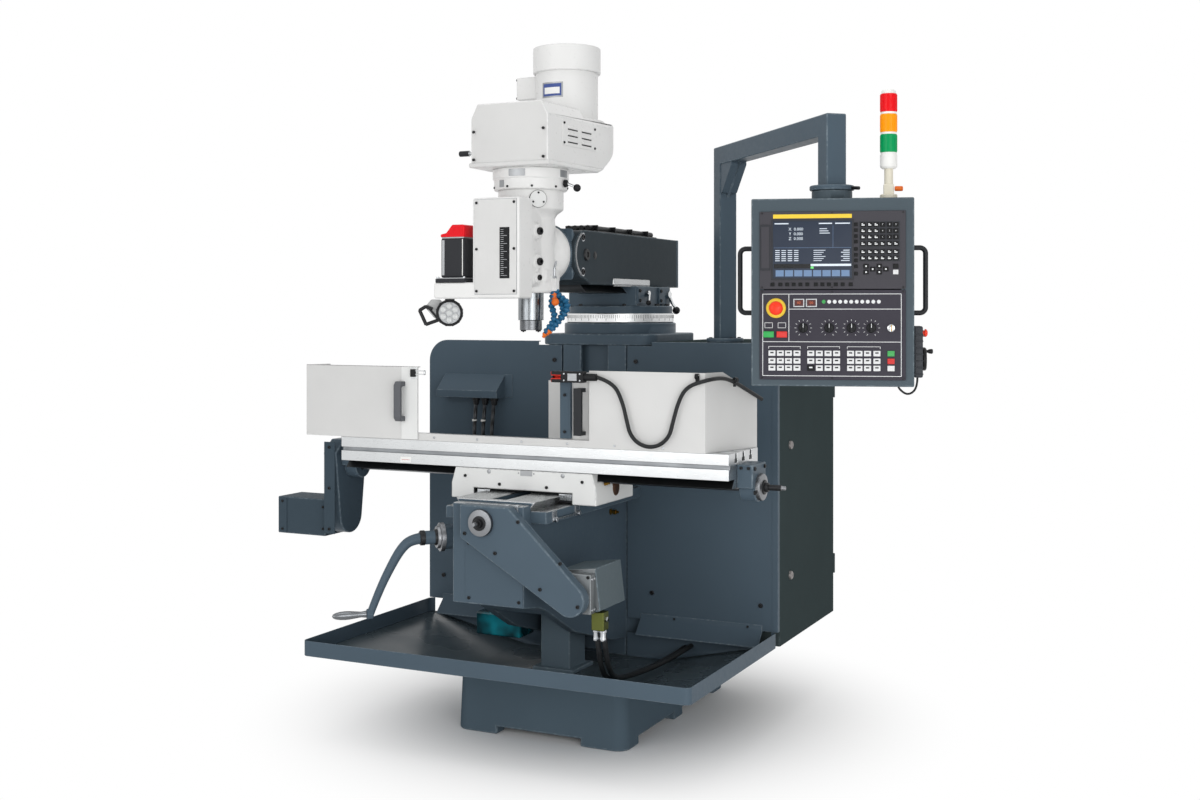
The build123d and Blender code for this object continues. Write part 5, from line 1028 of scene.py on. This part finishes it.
# Belt housing: a white cast cover over the belt and pulleys between motor and spindle, louvred on its right side.
# A light-grey sheet closes its front with four screws.
housing_nose, wall_foot, wall_run, wall_out, wall_back = -621, 135, 193, 0.049, 0.9988
crown = [((side * 113, housing_nose, 2009), (side * 26, -1.264, 13)) for side in (-1, 1)]
tail = [((0, -163, 1897), (0, 85, -126))]
dressed("belt_housing", 4, 3, 24, crown + tail)
recolour(1, lambda spot, out: spot.y < housing_nose + 0.2)
settle("belt_cover", [head_white, guard_paint], "head", "head_paint", "belt_housing")
screws(0, housing_nose - 5, ((-122, 1922), (122, 1922), (-122, 1836), (122, 1836)), 4.5)
wall = facing(87.2, wall_foot + wall_out * wall_run, housing_nose + wall_back * wall_run, 0)
for x in (-98, 98):
    for z in (1888, 1949):
        screw(wall @ at(x, z, 2), 4)
settle("belt_cover_screws", black_steel_and_rim_shade, "head", "machine_paint")
slab(wall, (-106, 106), (1880, 1957), (-1, 2), 1)
for column in (-44, 44):
    for z in (1893, 1913, 1933):
        slab(wall, (column - 32, column + 32), (z, z + 9), (1, 6.5), 3.4, 0, 3)
        # The black strip under each louvre's lip is painted shade in its opening
        slab(wall, (column - 31, column + 31), (z - 3.4, z + 1), (1, 2.4), 0, 1)
settle("belt_louvres", [head_white, ink_and_opening_shade], "head", "head_paint")

# Spindle motor: an upright induction motor bolted on the rear of the belt housing, painted white with it.
# It has a slotted fan cowl on top, a terminal box at the left and a plain blue plate on a metal backing.
# Blue enamel of the plate: satin, even
blue_plate = moulded("blue_plate_enamel", "#41548f", 0.35)
motor_axis, terminal_side, cowl_slots = at(0, -230, 0), -166, 28
dressed("spindle_motor", 4, 3)
settle("motor_body", head_white, "head", "head_paint", "spindle_motor")
for count in range(cowl_slots):
    # Each slot is a black strip on the cowl's top: painted shade in the opening
    slab(turned(motor_axis, 360 * count / cowl_slots), (46, 92), (-2.6, 2.6), (2234, 2235.6), 0.6)
settle("cowl_slots", ink_and_opening_shade, "head", "black_plastic")
for count in range(4):
    screw(turned(motor_axis, 45 + 90 * count) @ at(114, 0, 1993), 6)
screws(-90, terminal_side, [(y, z) for y in (-268, -192) for z in (2077, 2138)], 4)
settle("motor_screws", black_steel_and_rim_shade, "head", "machine_paint")
for mat, (start, sweep, low, high, skin) in enumerate(
        ((-113, 43, 2062, 2112, 103.6), (-110, 37, 2067, 2107, 104.1), (-107, 31, 2074, 2095, 104.5))):
    lathe(turned(motor_axis, start), ((102, low), (skin, low), (skin, high), (102, high), (102, low)), mat, 14, sweep)
settle("motor_plate", [plate_stock_and_painted_lines, blue_plate, plate_white], "head", "ground_steel")

# Quill drive: a white cast cover in front of the head that hides the ball screw, with a shelf for its servo.
# A flat lid with six screws closes it, and a dark window strip shows the quill's position.
# Brushed sheet of the lid: a white-grey satin with upright lines
lid_sheet = brushed("satin_lid_sheet", "#c6c6c5", 0.46, (14, 14, 1), 2.5, 0.0002, 0.05, 0.15)
# Smoked acrylic of the window: dark and glossy
smoked = moulded("smoked_acrylic", "#1b1c1e", 0.2, 20, 0.0002, 0.08)
drive_front, lid_thick = -704, 2.4
lid = facing(0, 0, drive_front, 0)
slab(lid, (-81, 81), (1406, 1711), (-88, 0), 7, 0, 4)
slab(lid, (-220, -60), (1406.5, 1455), (-87.5, -0.5), 6.5, 0, 4)
settle("drive_cover", head_white, "head", "head_paint", "quill_drive_cover")
slab(lid, (-71, 73), (1419, 1705), (-1, lid_thick), 1.2)
# A slab of plate stock just larger than the lid, standing below it, shows as a darker line round the lid: a painted
# shadow line
slab(lid, (-72.6, 74.6), (1417.4, 1706.6), (-1, 0.5), 0.3, 1)
settle("drive_lid", [lid_sheet, plate_stock_and_painted_lines], "head", "head_paint")
slab(lid, (16, 50), (1466, 1620), (2, 3.4), 0.8)
for count in range(24):
    z = 1474 + 6 * count
    slab(lid, (20, 30 if count % 4 else 42), (z, z + 1.2), (3.3, 3.6), 0, 1)
settle("drive_window", [smoked, plate_stock_and_painted_lines], "head", "black_plastic")
screws(0, drive_front - lid_thick, [(x, z) for x in (-64, 66) for z in (1695, 1555, 1428)], 4.2)
settle("drive_lid_screws", black_steel_and_rim_shade, "head", "machine_paint")

# Quill servo: a black motor of enamelled aluminium that stands on the shelf, bolted down by its square flange.
# A red moulded cap over the encoder closes its top, with a sloping cable corner at the left.
# Black enamel of the case: smooth, with a low gloss
servo_black = enamel("black_servo_enamel", "#323336", 0.34, 0.03, 0.3, "#5b5e60", 0.06)
# Red cap: bright moulded nylon
red_cap = moulded("red_encoder_cap", "#d81a24", 0.34, 1.2, 0.0002, 0.1)
servo_front = -690
case = facing(0, 0, servo_front, 0)
slab(lid, (-213, -107), (1455, 1467), (-106, 0), 1.6, 0)
slab(lid, (-211, -109), (1467, 1470), (-104, -2), 0.6, 2)
slab(case, (-202, -118), (1470, 1592), (-84, 0), 6, 0, 3)
slab(case, (-200, -120), (1591, 1596), (-82, -2), 1, 2)
# The thin white strip near the case's right edge is a painted highlight on that edge
slab(case, (-125, -122.6), (1476, 1588), (-0.5, 0.7), 0.2, 1)
# The plate-stock strip near the left edge is a painted highlight on the case's left front corner
slab(case, (-197, -188), (1478, 1586), (-0.5, 0.8), 0.3, 2)
bar(case, ((-203, 1595), (-117, 1595), (-117, 1628), (-122, 1633), (-162, 1633), (-183, 1608), (-203, 1604)),
    -85, 0.5, 3, 3)
for x in (-156, -138, -127):
    slab(case, (x, x + 3), (1604, 1631), (-0.5, 1.6), 0.8, 3)
for x in (-207, -113):
    for y in (-698, -604):
        screw(at(x, y, 1469.5), 4.5, 4)
settle("quill_servo_body", [servo_black, white_nylon_and_edge_highlight, plate_stock_and_painted_lines, red_cap, zinc], "head", "servo_black",
       "quill_servo")

# Work lamp: seven lamps behind clear lenses in a ribbed black housing, on a stem under the drive's shelf.
# A grey driver box sits behind it, and a bent steel loop at its left aims it by hand.
# Clear acrylic of the lenses: pale and very glossy
lens_glass = moulded("lamp_lens_acrylic", "#c4c6c6", 0.08, 3, 0.0004, 0.5)
# Grey enamel of the lamp's back: paler than the machine and matt
lamp_grey = enamel("lamp_grey_enamel", "#b1b2b2", 0.46, 0.04, 0.3, "#cfd0d0", 0.1)
lamp_x, lamp_y, lens_circle = -200, -640, 22
front = facing(26, lamp_x, lamp_y, 1362)
lathe(front, ((0, -18), (26, -18), (33, -15), (39, -6), (41.5, -2), (41.5, 15), (40, 18), (36, 18), (34.5, 13),
              (0, 13)), 0, 40)
for count in range(12):
    slab(turned(front, 15 + 30 * count), (40.6, 42.4), (-3, 3), (-1, 16), 0.8, 0)
lathe(front, ((34, 13.2), (33, 14), (0, 14)), 1, 36)
for count in range(7):
    spot = turned(front, 30 + 60 * count) @ at(lens_circle if count < 6 else 0, 0, 13.5)
    lathe(spot, ((10, 0), (10, 2.4), (8.6, 4.4), (5, 5.6), (0, 6)), 2, 20)
lathe(at(lamp_x, lamp_y, 0), ((0, 1360), (11, 1360), (11, 1398), (15, 1399), (15, 1405.5), (0, 1405.5)), 3, 24)
bar(front, ((-80, 18), (-60, 42), (-34, 42), (-10, 14), (-34, -26), (-52, -14)), -44, -14, 3, 4)
bar(front, ((-72, 16), (-68, 22), (-38, -14), (-42, -20)), -15, -13, 0.5, 3)
loop = [front @ Vector((x / 1000, y / 1000, -0.008)) * 1000
        for x, y in ((-56, 12), (-76, 20), (-95, 8), (-75, -36), (-36, -22))]
for start, end in zip(loop, loop[1:]):
    rod(start, end, 5.6, 3)
settle("lamp_body", [black_nylon, plate_stock_and_painted_lines, lens_glass, black_steel_and_rim_shade, lamp_grey], "lamp", "black_plastic",
       "work_lamp")

# Quill and spindle: a ground and chromed sleeve that slides in the head, with the spindle's nose turning in it.
# The nose has a bored taper and two drive keys.
# Ground quill steel: grey and bright, with lines along the stroke
quill_steel = brushed("ground_quill_steel", "#868a8d", 0.22, (12, 12, 1.2), 2, 0.00005)
# Hardened steel of the nose: darker, turned
nose_steel = brushed("hardened_nose_steel", "#6d6f72", 0.30, (3, 3, 10), 2, 0.0002)
dressed("quill", 1.2)
settle("quill_sleeve", quill_steel, "quill", "polished_steel", "quill")
dressed("spindle", 1.4)
settle("spindle_nose", nose_steel, "spindle", "ground_steel", "spindle")
for side in (-1, 1):
    slab(axis @ at(0, 0, 1308), sorted((side * 20, side * 33.5)), (-6, 6), (-4.5, 3), 0.8)
    screw(turned(axis @ at(side * 27, 0, 1303.5), 180, "X"), 3)
settle("drive_keys", black_steel_and_rim_shade, "spindle", "ground_steel")

# Coolant nozzle: blue ball-and-socket segments that snap together and stay where they are bent.
# They start at a white block with an orange valve on the head and end in an orange tip.
# Blue acetal of the segments: a soft, slightly waxy sheen
segment_blue = moulded("blue_acetal", "#225c80", 0.34, 0.8, 0.0002)
# Orange acetal of valve and tips: bright, with the same sheen
orange = moulded("orange_acetal", "#d96a25", 0.36, 0.8, 0.0002)
pipe_x, pipe_y, line_top, segment = 78, -470, 1440, 14.5
nozzles = (
    ((72, -474, 1404), (70, -476, 1382), (86, -480, 1356), (80, -484, 1330), (60, -488, 1306), (48, -490, 1282)),
    ((92, -466, 1412), (116, -462, 1402), (124, -466, 1374), (104, -474, 1344), (80, -486, 1314), (62, -492, 1292)),
    ((84, -460, 1406), (100, -456, 1388), (106, -462, 1362), (94, -470, 1336), (72, -480, 1314)),
)
socket = ((0, -7), (8, -7), (10.6, -4.5), (10.6, 1), (8.6, 3), (6.4, 4), (7.4, 6), (6, 8), (0, 8))
tip = ((0, -7), (8.2, -7), (8.2, -2), (5.4, 2), (4.6, 8), (3.4, 8), (3, 5), (0, 5))
for nozzle in nozzles:
    holder = bent("nozzle_line", [(pipe_x, pipe_y, line_top), *nozzle], 16)
    run = bpy.data.meshes.new_from_object(holder)
    trail = [v.co.copy() for v in run.vertices]
    bpy.data.objects.remove(holder)
    bpy.data.meshes.remove(run)
    passed = 0.0
    for here, ahead in zip(trail, trail[1:]):
        passed += (ahead - here).length * 1000
        if passed >= segment:
            passed -= segment
            place = Matrix.Translation(ahead) @ (ahead - here).to_track_quat("Z", "Y").to_matrix().to_4x4()
            last = (trail[-1] - ahead).length * 1000 < segment
            lathe(place, tip if last else socket, 1 if last else 0, 20)
slab(facing(90, 62, pipe_y, 0), (-13, 13), (1430, 1470), (0, 28), 3, 2)
lathe(at(pipe_x, pipe_y, 1404), ((0, 0), (10.5, 0), (11, 2), (11, 22), (8, 24), (0, 24)), 1, 20)
ball((90, -486, 1396), 12, 1)
settle("coolant_line", [segment_blue, orange, head_white], "head", "nozzle_plastic", "coolant_nozzle")
rod((pipe_x, pipe_y, 1468), (pipe_x, pipe_y, 1500), 4)
rod((pipe_x, pipe_y, 1500), (70, -440, 1530), 4)
lathe(at(pipe_x, pipe_y, 1469), ((0, 0), (8, 0), (8, 9), (0, 9)), 0, 6)
settle("coolant_pipe", zinc, "head", "ground_steel")

# Pendant arm: a welded square tube that stands on the cabinet and reaches over the table, with a gusset in its bend.
# A bolted sleeve closes the corner, and a clamp lever on the collar stops the pendant from turning.
arm_x, arm_y, arm_end_x, arm_end_y = 452, 51, 1004, -572
dressed("pendant_arm", 4, 3)
settle("arm_tube", sheet_paint, "arm", "machine_paint", "pendant_arm")
for count in range(4):
    screw(turned(at(arm_x, arm_y, 1275.5), 45 + 90 * count) @ at(52, 0, 0), 6)
rod((arm_end_x + 58, arm_end_y - 10, 1709), (arm_end_x + 84, arm_end_y - 26, 1706), 5)
settle("arm_screws", black_steel_and_rim_shade, "arm", "machine_paint")
heading = math.degrees(math.atan2(arm_end_y - arm_y, arm_end_x - arm_x))
gusset = turned(turned(at(arm_x, arm_y, 0), heading), 90, "X")
bar(gusset, ((29, 1857), (29, 1760), (42, 1760), (128, 1845), (128, 1857)), -27, 27, 3)
settle("arm_gusset", sheet_paint, "arm", "machine_paint")

# Pendant case: a folded steel box for the control, in slate powder coat, hung on a swivel at the arm's end.
# Two bent plastic-coated loops at its sides turn it, and a louvred plate closes its back with six screws.
# Powder coat of the case: slate, satin, with an even fine grain
case_paint = enamel("slate_powder_coat", "#48535a", 0.46, 0.03, 0.6)
pendant = turned(at(arm_end_x, arm_end_y, 0), 16.7)
foot_slope = [(pendant @ Vector((0, 0.080, 1.203)) * 1000, pendant.to_3x3() @ Vector((0, 1, -1)))]
dressed("pendant_case", 4, 3, 32, foot_slope)
settle("pendant_box", case_paint, "pendant", "machine_paint", "pendant_case")
dressed("pendant_handles", 1.5)
settle("pendant_loops", black_grip, "pendant", "black_plastic", "pendant_handles")
back = pendant @ facing(180, 0, 80, 0)
slab(back, (-190, 190), (1210, 1650), (-1, 2), 1)
for row in range(8):
    slab(back, (-120, 120), (1234 + 12 * row, 1240 + 12 * row), (1, 5), 2.4)
for x in (-182, 182):
    for z in (1218, 1430, 1642):
        screw(back @ at(x, z, 2), 4.5, 1)
settle("pendant_back", [case_paint, black_steel_and_rim_shade], "pendant", "machine_paint")


# Control panels: two plates screwed to the front of the pendant, the upper with screen and keypad, the lower with
# the operator's controls. Caps, lamps and printed lines stand on them.
def figures(place, text, height, mat=0):
    """Plain numbers drawn flat on a place, centred, in millimetres."""
    font = bpy.data.curves.new("figures", "FONT")
    font.body = text
    font.size = height / 700
    font.align_x = "CENTER"
    font.align_y = "CENTER"
    font.resolution_u = 2
    lay(bpy.data.objects.new("figures", font), place, mat)


def outline(place, x, y, high, line, mat=0):
    """A printed frame around a field, as thin as ink, in millimetres."""
    for wide, tall in ((x, (y[0], y[0] + line)), (x, (y[1] - line, y[1])),
                       ((x[0], x[0] + line), y), ((x[1] - line, x[1]), y)):
        slab(place, wide, tall, high, 0, mat)


# Printed polyester film of the upper plate: warm dark grey, satin
bezel = moulded("grey_bezel_film", "#414045", 0.42, 0.8, gloss=0.1)
# Film of the lower plate: the same, darker
operator_film = moulded("grey_operator_film", "#38363e", 0.44, 0.8, gloss=0.1)
# White print: flat and pale
frame_ink = moulded("white_print", "#d8dadb", 0.5)
# Yellow film around the emergency button and on the bar: flat, warm
yellow = moulded("yellow_film", "#e3c13d", 0.42)
# Dark film behind screen and keypad: near black, satin
dark_film = moulded("dark_film", "#2b2d32", 0.4)
panel = turned(pendant @ at(0, -85, 0), 90, "X")
ink, frame_line, thin_line = (-0.1, 0.35), 1.6, 1.2
estop = panel @ at(-152, 1376, 0)
button_x, knob_z = (-172, -136), 1322
knobs = (("mode_knob", -78), ("feed_knob", -8), ("rapid_knob", 52), ("speed_knob", 105))
slab(panel, (-197, 197), (1428, 1641), (-5, 0), 2.2, 0)
slab(panel, (-197, 197), (1180, 1426), (-5, 0), 2.2, 1)
slab(panel, (-160, 53), (1622, 1633), (-0.5, 0.5), 0.2, 3)
slab(panel, (-195, -168), (1480, 1605), (-0.5, 2.2), 1.2, 4)
slab(panel, (-192, -171), (1486, 1599), (2, 2.8), 0.4, 0)
slab(panel, (-165, 58), (1453, 1619), (-0.5, 1.4), 0.8, 4)
slab(panel, (72, 182), (1540, 1612), (-0.5, 0.5), 0.3, 4)
slab(panel, (72, 182), (1503, 1538), (-0.5, 0.5), 0.3, 4)
outline(panel, (-189, 185.6), (1190, 1415.5), ink, frame_line, 2)
for x, z in (((-117.8, -116.2), (1284, 1415)), ((-117, 186), (1372.7, 1374.3)), ((-189, 186), (1283.2, 1284.8))):
    slab(panel, x, z, ink, 0, 2)
for x in button_x:
    outline(panel, (x - 11, x + 11), (1321.5, 1336.5), ink, thin_line, 2)
for low, high in ((-172, -86), (-66, 20), (41, 129)):
    slab(panel, (low, high), (1270.4, 1271.6), ink, 0, 2)
    for x in (low, high):
        slab(panel, (x - 0.6, x + 0.6), (1265, 1271.6), ink, 0, 2)
lathe(estop, ((0, 5.8), (22, 5.8), (24, 5), (25, 3), (27, 0.8), (27, -1)), 3, 40)
for name, x in knobs:
    for step in range(11):
        slab(turned(panel @ at(x, knob_z, 0), -60 + 30 * step), (19, 23.5), (-0.5, 0.5), ink, 0, 2)
settle("panel_plates", [bezel, operator_film, frame_ink, yellow, dark_film], "pendant", "panel_plastic",
       "control_panels")
for x in (-190, 0, 190):
    for z in (1636, 1433, 1421, 1185):
        screw(panel @ at(x, z, 0), 2.4)
settle("panel_small_screws", black_steel_and_rim_shade, "pendant", "machine_paint")


# Screen: a lit display behind glass, clamped in the upper plate, with a plain made-up page of numbers and bars.
# Lit parts glow a little, the page is dark blue-grey.
def lit(name, colour, rough, strength, glow=None, **values):
    """A display colour that gives a little light of its own."""
    return moulded(name, colour, rough, Emission_Color=linear(glow or colour), Emission_Strength=strength, **values)


# Glass over the page: dark blue-grey, glossy, dimly lit
glass_page = lit("display_page", "#222a38", 0.16, 0.2, "#2c3647", grain=30, depth=0.0001, gloss=0.15)
# Lit white, blue and green of the page, and its unlit black
page_white = lit("display_white", "#c3ccd6", 0.2, 0.25)
page_blue = lit("display_blue", "#5f7796", 0.2, 0.2)
page_green = lit("display_green", "#5fbf6a", 0.2, 0.4)
page_black = moulded("display_black", "#0d0f12", 0.15)
page = 2.2
shown = (page, page + 0.1)
slab(panel, (-160, 53), (1458, 1614), (0, page), 0.6, 0)
for low, high in ((-156, -118), (-36, 0), (8, 48)):
    slab(panel, (low, high), (1606, 1609), shown, 0, 1)
for row, value in enumerate(("X  0.000", "Y  0.000", "Z  0.000")):
    figures(panel @ at(-98, 1592 - 13 * row, page + 0.25), value, 8, 1)
slab(panel, (2, 2.7), (1542, 1602), shown, 0, 2)
slab(panel, (-158, 51), (1541, 1541.7), shown, 0, 2)
for row in range(3):
    z = 1593 - 6 * row
    slab(panel, (-34, -14 + 4 * row), (z - 1, z + 1), shown, 0, 1)
for row in range(6):
    z = 1534 - 5.6 * row
    for column in range(4):
        slab(panel, (-154 + 17 * column, -142 + 17 * column), (z - 1, z + 1), shown, 0, 1)
    slab(panel, (-50, -18 - 5 * (row % 3)), (z - 0.8, z + 0.8), shown, 0, 1)
    slab(panel, (30 - 6 * (row % 2), 47), (z - 1, z + 1), shown, 0, 1)
slab(panel, (-158, -58), (1485, 1497), shown, 0, 3)
slab(panel, (-58, 51), (1491, 1497), shown, 0, 1)
slab(panel, (-58, -50), (1484, 1490), (page, page + 0.12), 0, 4)
for count in range(8):
    x = -153 + 25.4 * count
    slab(panel, (x, x + 22), (1463, 1480), shown, 0, 2)
settle("screen_page", [glass_page, page_white, page_blue, page_black, page_green], "pendant", "panel_plastic")


# Keys, lamps and displays: small moulded caps in rows, snapped into the plates, each with softened edges.
# Legends are plain bars or single numbers, and two red number displays sit in metal frames.
def cap(x, z, wide, high, mat, rise=2.6):
    """One key cap on the panel, in millimetres."""
    slab(panel, (x - wide / 2, x + wide / 2), (z - high / 2, z + high / 2), (0, rise), 1, mat)


# Key caps in white, black, green and red: satin with a fine spark texture
key_white = moulded("white_key_cap", "#cfd0d1", 0.38, 0.7)
key_dark = moulded("dark_key_cap", "#0f1012", 0.4, 0.7, gloss=0.15)
key_green = moulded("green_key_cap", "#3f9a52", 0.34, 0.7)
key_red = moulded("red_key_cap", "#bf2d2c", 0.34, 0.7)
# Window of the number displays: dark red and glossy, with dim red digits behind it
digit_window = moulded("red_display_window", "#4a1f1c", 0.12)
digit_glow = lit("red_digits", "#b0532f", 0.2, 0.2, "#c8623a")
pad_key, pad_legend, row_key, row_rise = (14.6, 12.6), (2.5, 2.9), (19, 15), 3.4
key_rows = (1252.6, 1231.8, 1212.4)
for z in (1604, 1588, 1572, 1557, 1537, 1521, 1506, 1490, 1470):
    cap(64, z, 10, 10, 1)
for row, z in enumerate((1603, 1586, 1569, 1551, 1529, 1512)):
    for column, x in enumerate((83, 101, 118, 135, 153.5, 170.6)):
        cap(x, z, *pad_key, 1)
        if 2 < column and row < 3:
            figures(panel @ at(x, z, 2.9), str((2 - row) * 3 + column - 2), 4.4, 4)
        else:
            slab(panel, (x - 4, x + 4), (z - 2.6, z + 0.4), pad_legend, 0, 4)
            slab(panel, (x - 4, x), (z + 1.4, z + 3.4), pad_legend, 0, 4)
for x, z in ((91, 1490), (91, 1474), (108.6, 1482), (126.4, 1490), (126.4, 1474), (143.8, 1482)):
    cap(x, z, *pad_key, 1)
    slab(panel, (x - 2, x + 2), (z - 2, z + 2), pad_legend, 0, 4)
cap(170, 1490, *pad_key, 1)
cap(170, 1474, *pad_key, 0)
for x in (-161.5, -140, -121.6, -104, -85.6, -67, -43.8, -26, -8.6, 10, 28.5, 50):
    cap(x, 1441, 11, 10, 1)
for z in key_rows:
    for x in (-163, -140, -118, -95, -57.6, -34.6, -11, 12, 49.6, 72, 95, 120):
        dark = (x, z) == (-57.6, key_rows[2])
        cap(x, z, *row_key, 1 if dark else 0, row_rise)
        slab(panel, (x - 4.5, x + 4.5), (z - 0.2, z + 3.4), (3.3, 3.7), 0, 4 if dark else 5)
for z, mat in zip(key_rows, (2, 3, 0)):
    cap(157.6, z, *row_key, mat, row_rise)
for step in range(11):
    lathe(panel @ at(-22.7 + 14.8 * step, 1393.6, 0), ((5.2, -0.5), (5.2, 0.5), (4, 0.6), (3.4, 2), (0, 2.6)),
          4 if step else 2, 16)
settle("panel_keys", [key_white, key_dark, key_green, key_red, frame_ink, ink_and_opening_shade], "pendant", "panel_plastic")
for x in (-90, -56):
    slab(panel, (x - 15, x + 15), (1379, 1402), (-0.5, 2.2), 0.8, 0)
    slab(panel, (x - 12, x + 12), (1382, 1399), (2, 2.7), 0.3, 1)
    figures(panel @ at(x, 1390.5, 2.9), "00", 7, 2)
settle("number_displays", [plate_stock_and_painted_lines, digit_window, digit_glow], "pendant", "panel_plastic")

# Emergency button, push buttons, selector knobs and key switch: moulded controls that move by themselves.
# Each sits in a bore of the lower plate; the knobs are black nylon with a white line, the key is brass.
# Red ABS of the emergency button: bright and smooth
red_button = moulded("red_mushroom_abs", "#e5391f", 0.28, 2, 0.0001)
lathe(estop, ((0, 20), (9, 19.6), (15, 17.6), (18.4, 14.6), (19, 12), (18, 9.4), (13, 8.6), (13, -4), (0, -4)), 0, 40)
settle("estop_head", red_button, "estop_button", "red_plastic", "estop_button")
for name, x, colour, slot in (("start_button", button_x[0], "#2f9c4d", "green_plastic"),
                              ("stop_button", button_x[1], "#c8302b", "red_plastic")):
    slab(panel, (x - 14.5, x + 14.5), (1295.6, 1312.4), (5.2, 9.2), 1.6, 0, 3)
    slab(panel, (x - 9.5, x + 9.5), (1298.6, 1309.4), (8.6, 9.7), 1, 0)
    # Acrylic of a push button: coloured and glossy
    settle(f"{name}_cap", moulded(f"{name}_acrylic", colour, 0.2, 2, 0.0001), name, slot, name)
for name, x in knobs:
    seat = panel @ at(x, knob_z, 0)
    lathe(seat, ((0, 8), (9, 8), (12, 6.4), (13.2, 2), (13.2, 0.5), (0, 0.5)), 0, 32)
    slab(seat, (-4, 4), (-12.4, 12.4), (5, 18), 2.4, 0, 3)
    slab(seat, (-0.8, 0.8), (1, 12), (17.6, 18.3), 0, 1)
    settle(f"{name}_body", [black_nylon, frame_ink], name, "black_plastic", name)
seat = panel @ at(158, knob_z, 0)
lathe(seat, ((0, 6), (7, 6), (10, 4.6), (10.4, 0.5), (0, 0.5)), 0, 28)
slab(seat, (-1.2, 1.2), (-4, 4), (5, 14), 0.4, 0)
slab(seat, (-1.3, 1.3), (-9, 9), (12, 28), 2, 1)
settle("key_body", [chrome, brass], "key_switch", "key_metal", "key_switch")

# Stack light: ribbed acrylic lenses in green, amber and red with white rings between them, on a cream post.
# The post is screwed to the pendant's top, and its cable leaves through an orange plug.
# Cream ABS of the post: warm and dull
cream = moulded("cream_abs", "#d8d3c2", 0.38, 0.9)
# White ABS of the rings: clean, with a soft sheen
white_abs = moulded("white_abs", "#e2e2df", 0.34, 0.9)
# Lens acrylic: strong colours with a gloss
lenses = [moulded(f"lens_acrylic_{number + 1}", colour, 0.16, 4, 0.0003, 0.12)
          for number, colour in enumerate(("#079556", "#f59a10", "#e0121b"))]
mast = pendant @ at(155, 0, 0)
lens_low, lens_pitch, ribs = 1801, 56, 24
lathe(mast, ((0, 1677), (23, 1677), (24, 1678), (24, 1689), (22, 1691), (0, 1691)), 0, 36)
slab(mast, (-14, 14), (-15, 15), (1690, 1720), 3, 0)
lathe(mast, ((0, 1718), (12, 1718), (12, 1763), (0, 1763)), 0, 28)
lathe(mast, ((0, 1762), (18, 1762), (22.6, 1766), (23.5, 1769), (23.5, lens_low), (0, lens_low)), 1, 40)
for number in range(len(lenses)):
    low = lens_low + lens_pitch * number
    lathe(mast, ((0, low), (22, low), (22, low + 6), (0, low + 6)), 1, 40)
    lathe(mast, ((0, low + 6), (22.6, low + 6), (23, low + 8), (23, low + 54), (22.6, low + 56), (0, low + 56)),
          2 + number, 40)
    for rib in range(ribs):
        slab(turned(mast, 360 / ribs * rib), (22.6, 23.7), (-1.1, 1.1), (low + 9, low + 53), 0, 2 + number)
lathe(mast, ((0, 1969), (20, 1969), (20, 1976), (17, 1980), (0, 1980)), 1, 36)
rod((1173, -535, 1706), (1191, -530, 1706), 7, 5)
settle("stack_light_body", [cream, white_abs, *lenses, orange], "pendant", "light_paint", "stack_light")

# Hand pulse unit: a ribbed moulded box screwed to the pendant's right side, with a hand wheel, a selector and a stop.
# The wheel is black nylon with a steel hub and white marks, and a short cable loops back into the pendant.
# Ribbed ABS of the box: dark grey, matt
pulse_box = moulded("dark_ribbed_abs", "#33363b", 0.44, 0.9)
slab(pendant, (220.5, 245), (-50, 40), (1186, 1327), 5, 0, 3)
for row in range(7):
    slab(pendant, (221, 246), (-51.4, 41.4), (1194 + 18 * row, 1198 + 18 * row), 1.6, 0)
side = pendant @ facing(90, 245, 0, 0)
lathe(side @ at(18, 1306, 0), ((0, 12), (7, 12), (9, 10), (9, 0)), 1, 24)
lathe(side @ at(-26, 1308, 0), ((0, 14), (6, 13.6), (10.6, 10), (11, 6), (7, 5), (7, 0)), 2, 28)
settle("pulse_unit_box", [pulse_box, black_nylon, red_button], "pendant", "black_plastic", "hand_pulse_unit")
hub = pendant @ facing(90, 246.4, -5, 1236)
wheel_marks = 50
lathe(hub, ((0, 9), (20, 9), (24, 10), (29, 10), (32, 7), (32, 2), (30, 0), (0, 0)), 0, 44)
lathe(hub, ((0, 11), (10, 11), (12, 9), (12, 8)), 1, 28)
lathe(hub @ at(0, 21, 0), ((0, 28), (5, 28), (7, 25), (6, 17), (4, 14), (4, 8)), 1, 20)
for count in range(wheel_marks):
    slab(turned(hub, 360 / wheel_marks * count), (25, 28.4), (-0.35, 0.35), (9.9, 10.2), 0, 2)
settle("pulse_wheel_body", [black_nylon, black_steel_and_rim_shade, frame_ink], "pulse_wheel", "black_plastic", "pulse_wheel")
route = [pendant @ Vector((x / 1000, 0, z / 1000)) * 1000
         for x, z in ((233, 1186), (233, 1154), (207, 1134), (181, 1154), (181, 1162))]
hose("pulse_cable", route, 3, "pendant", "hand_pulse_unit")
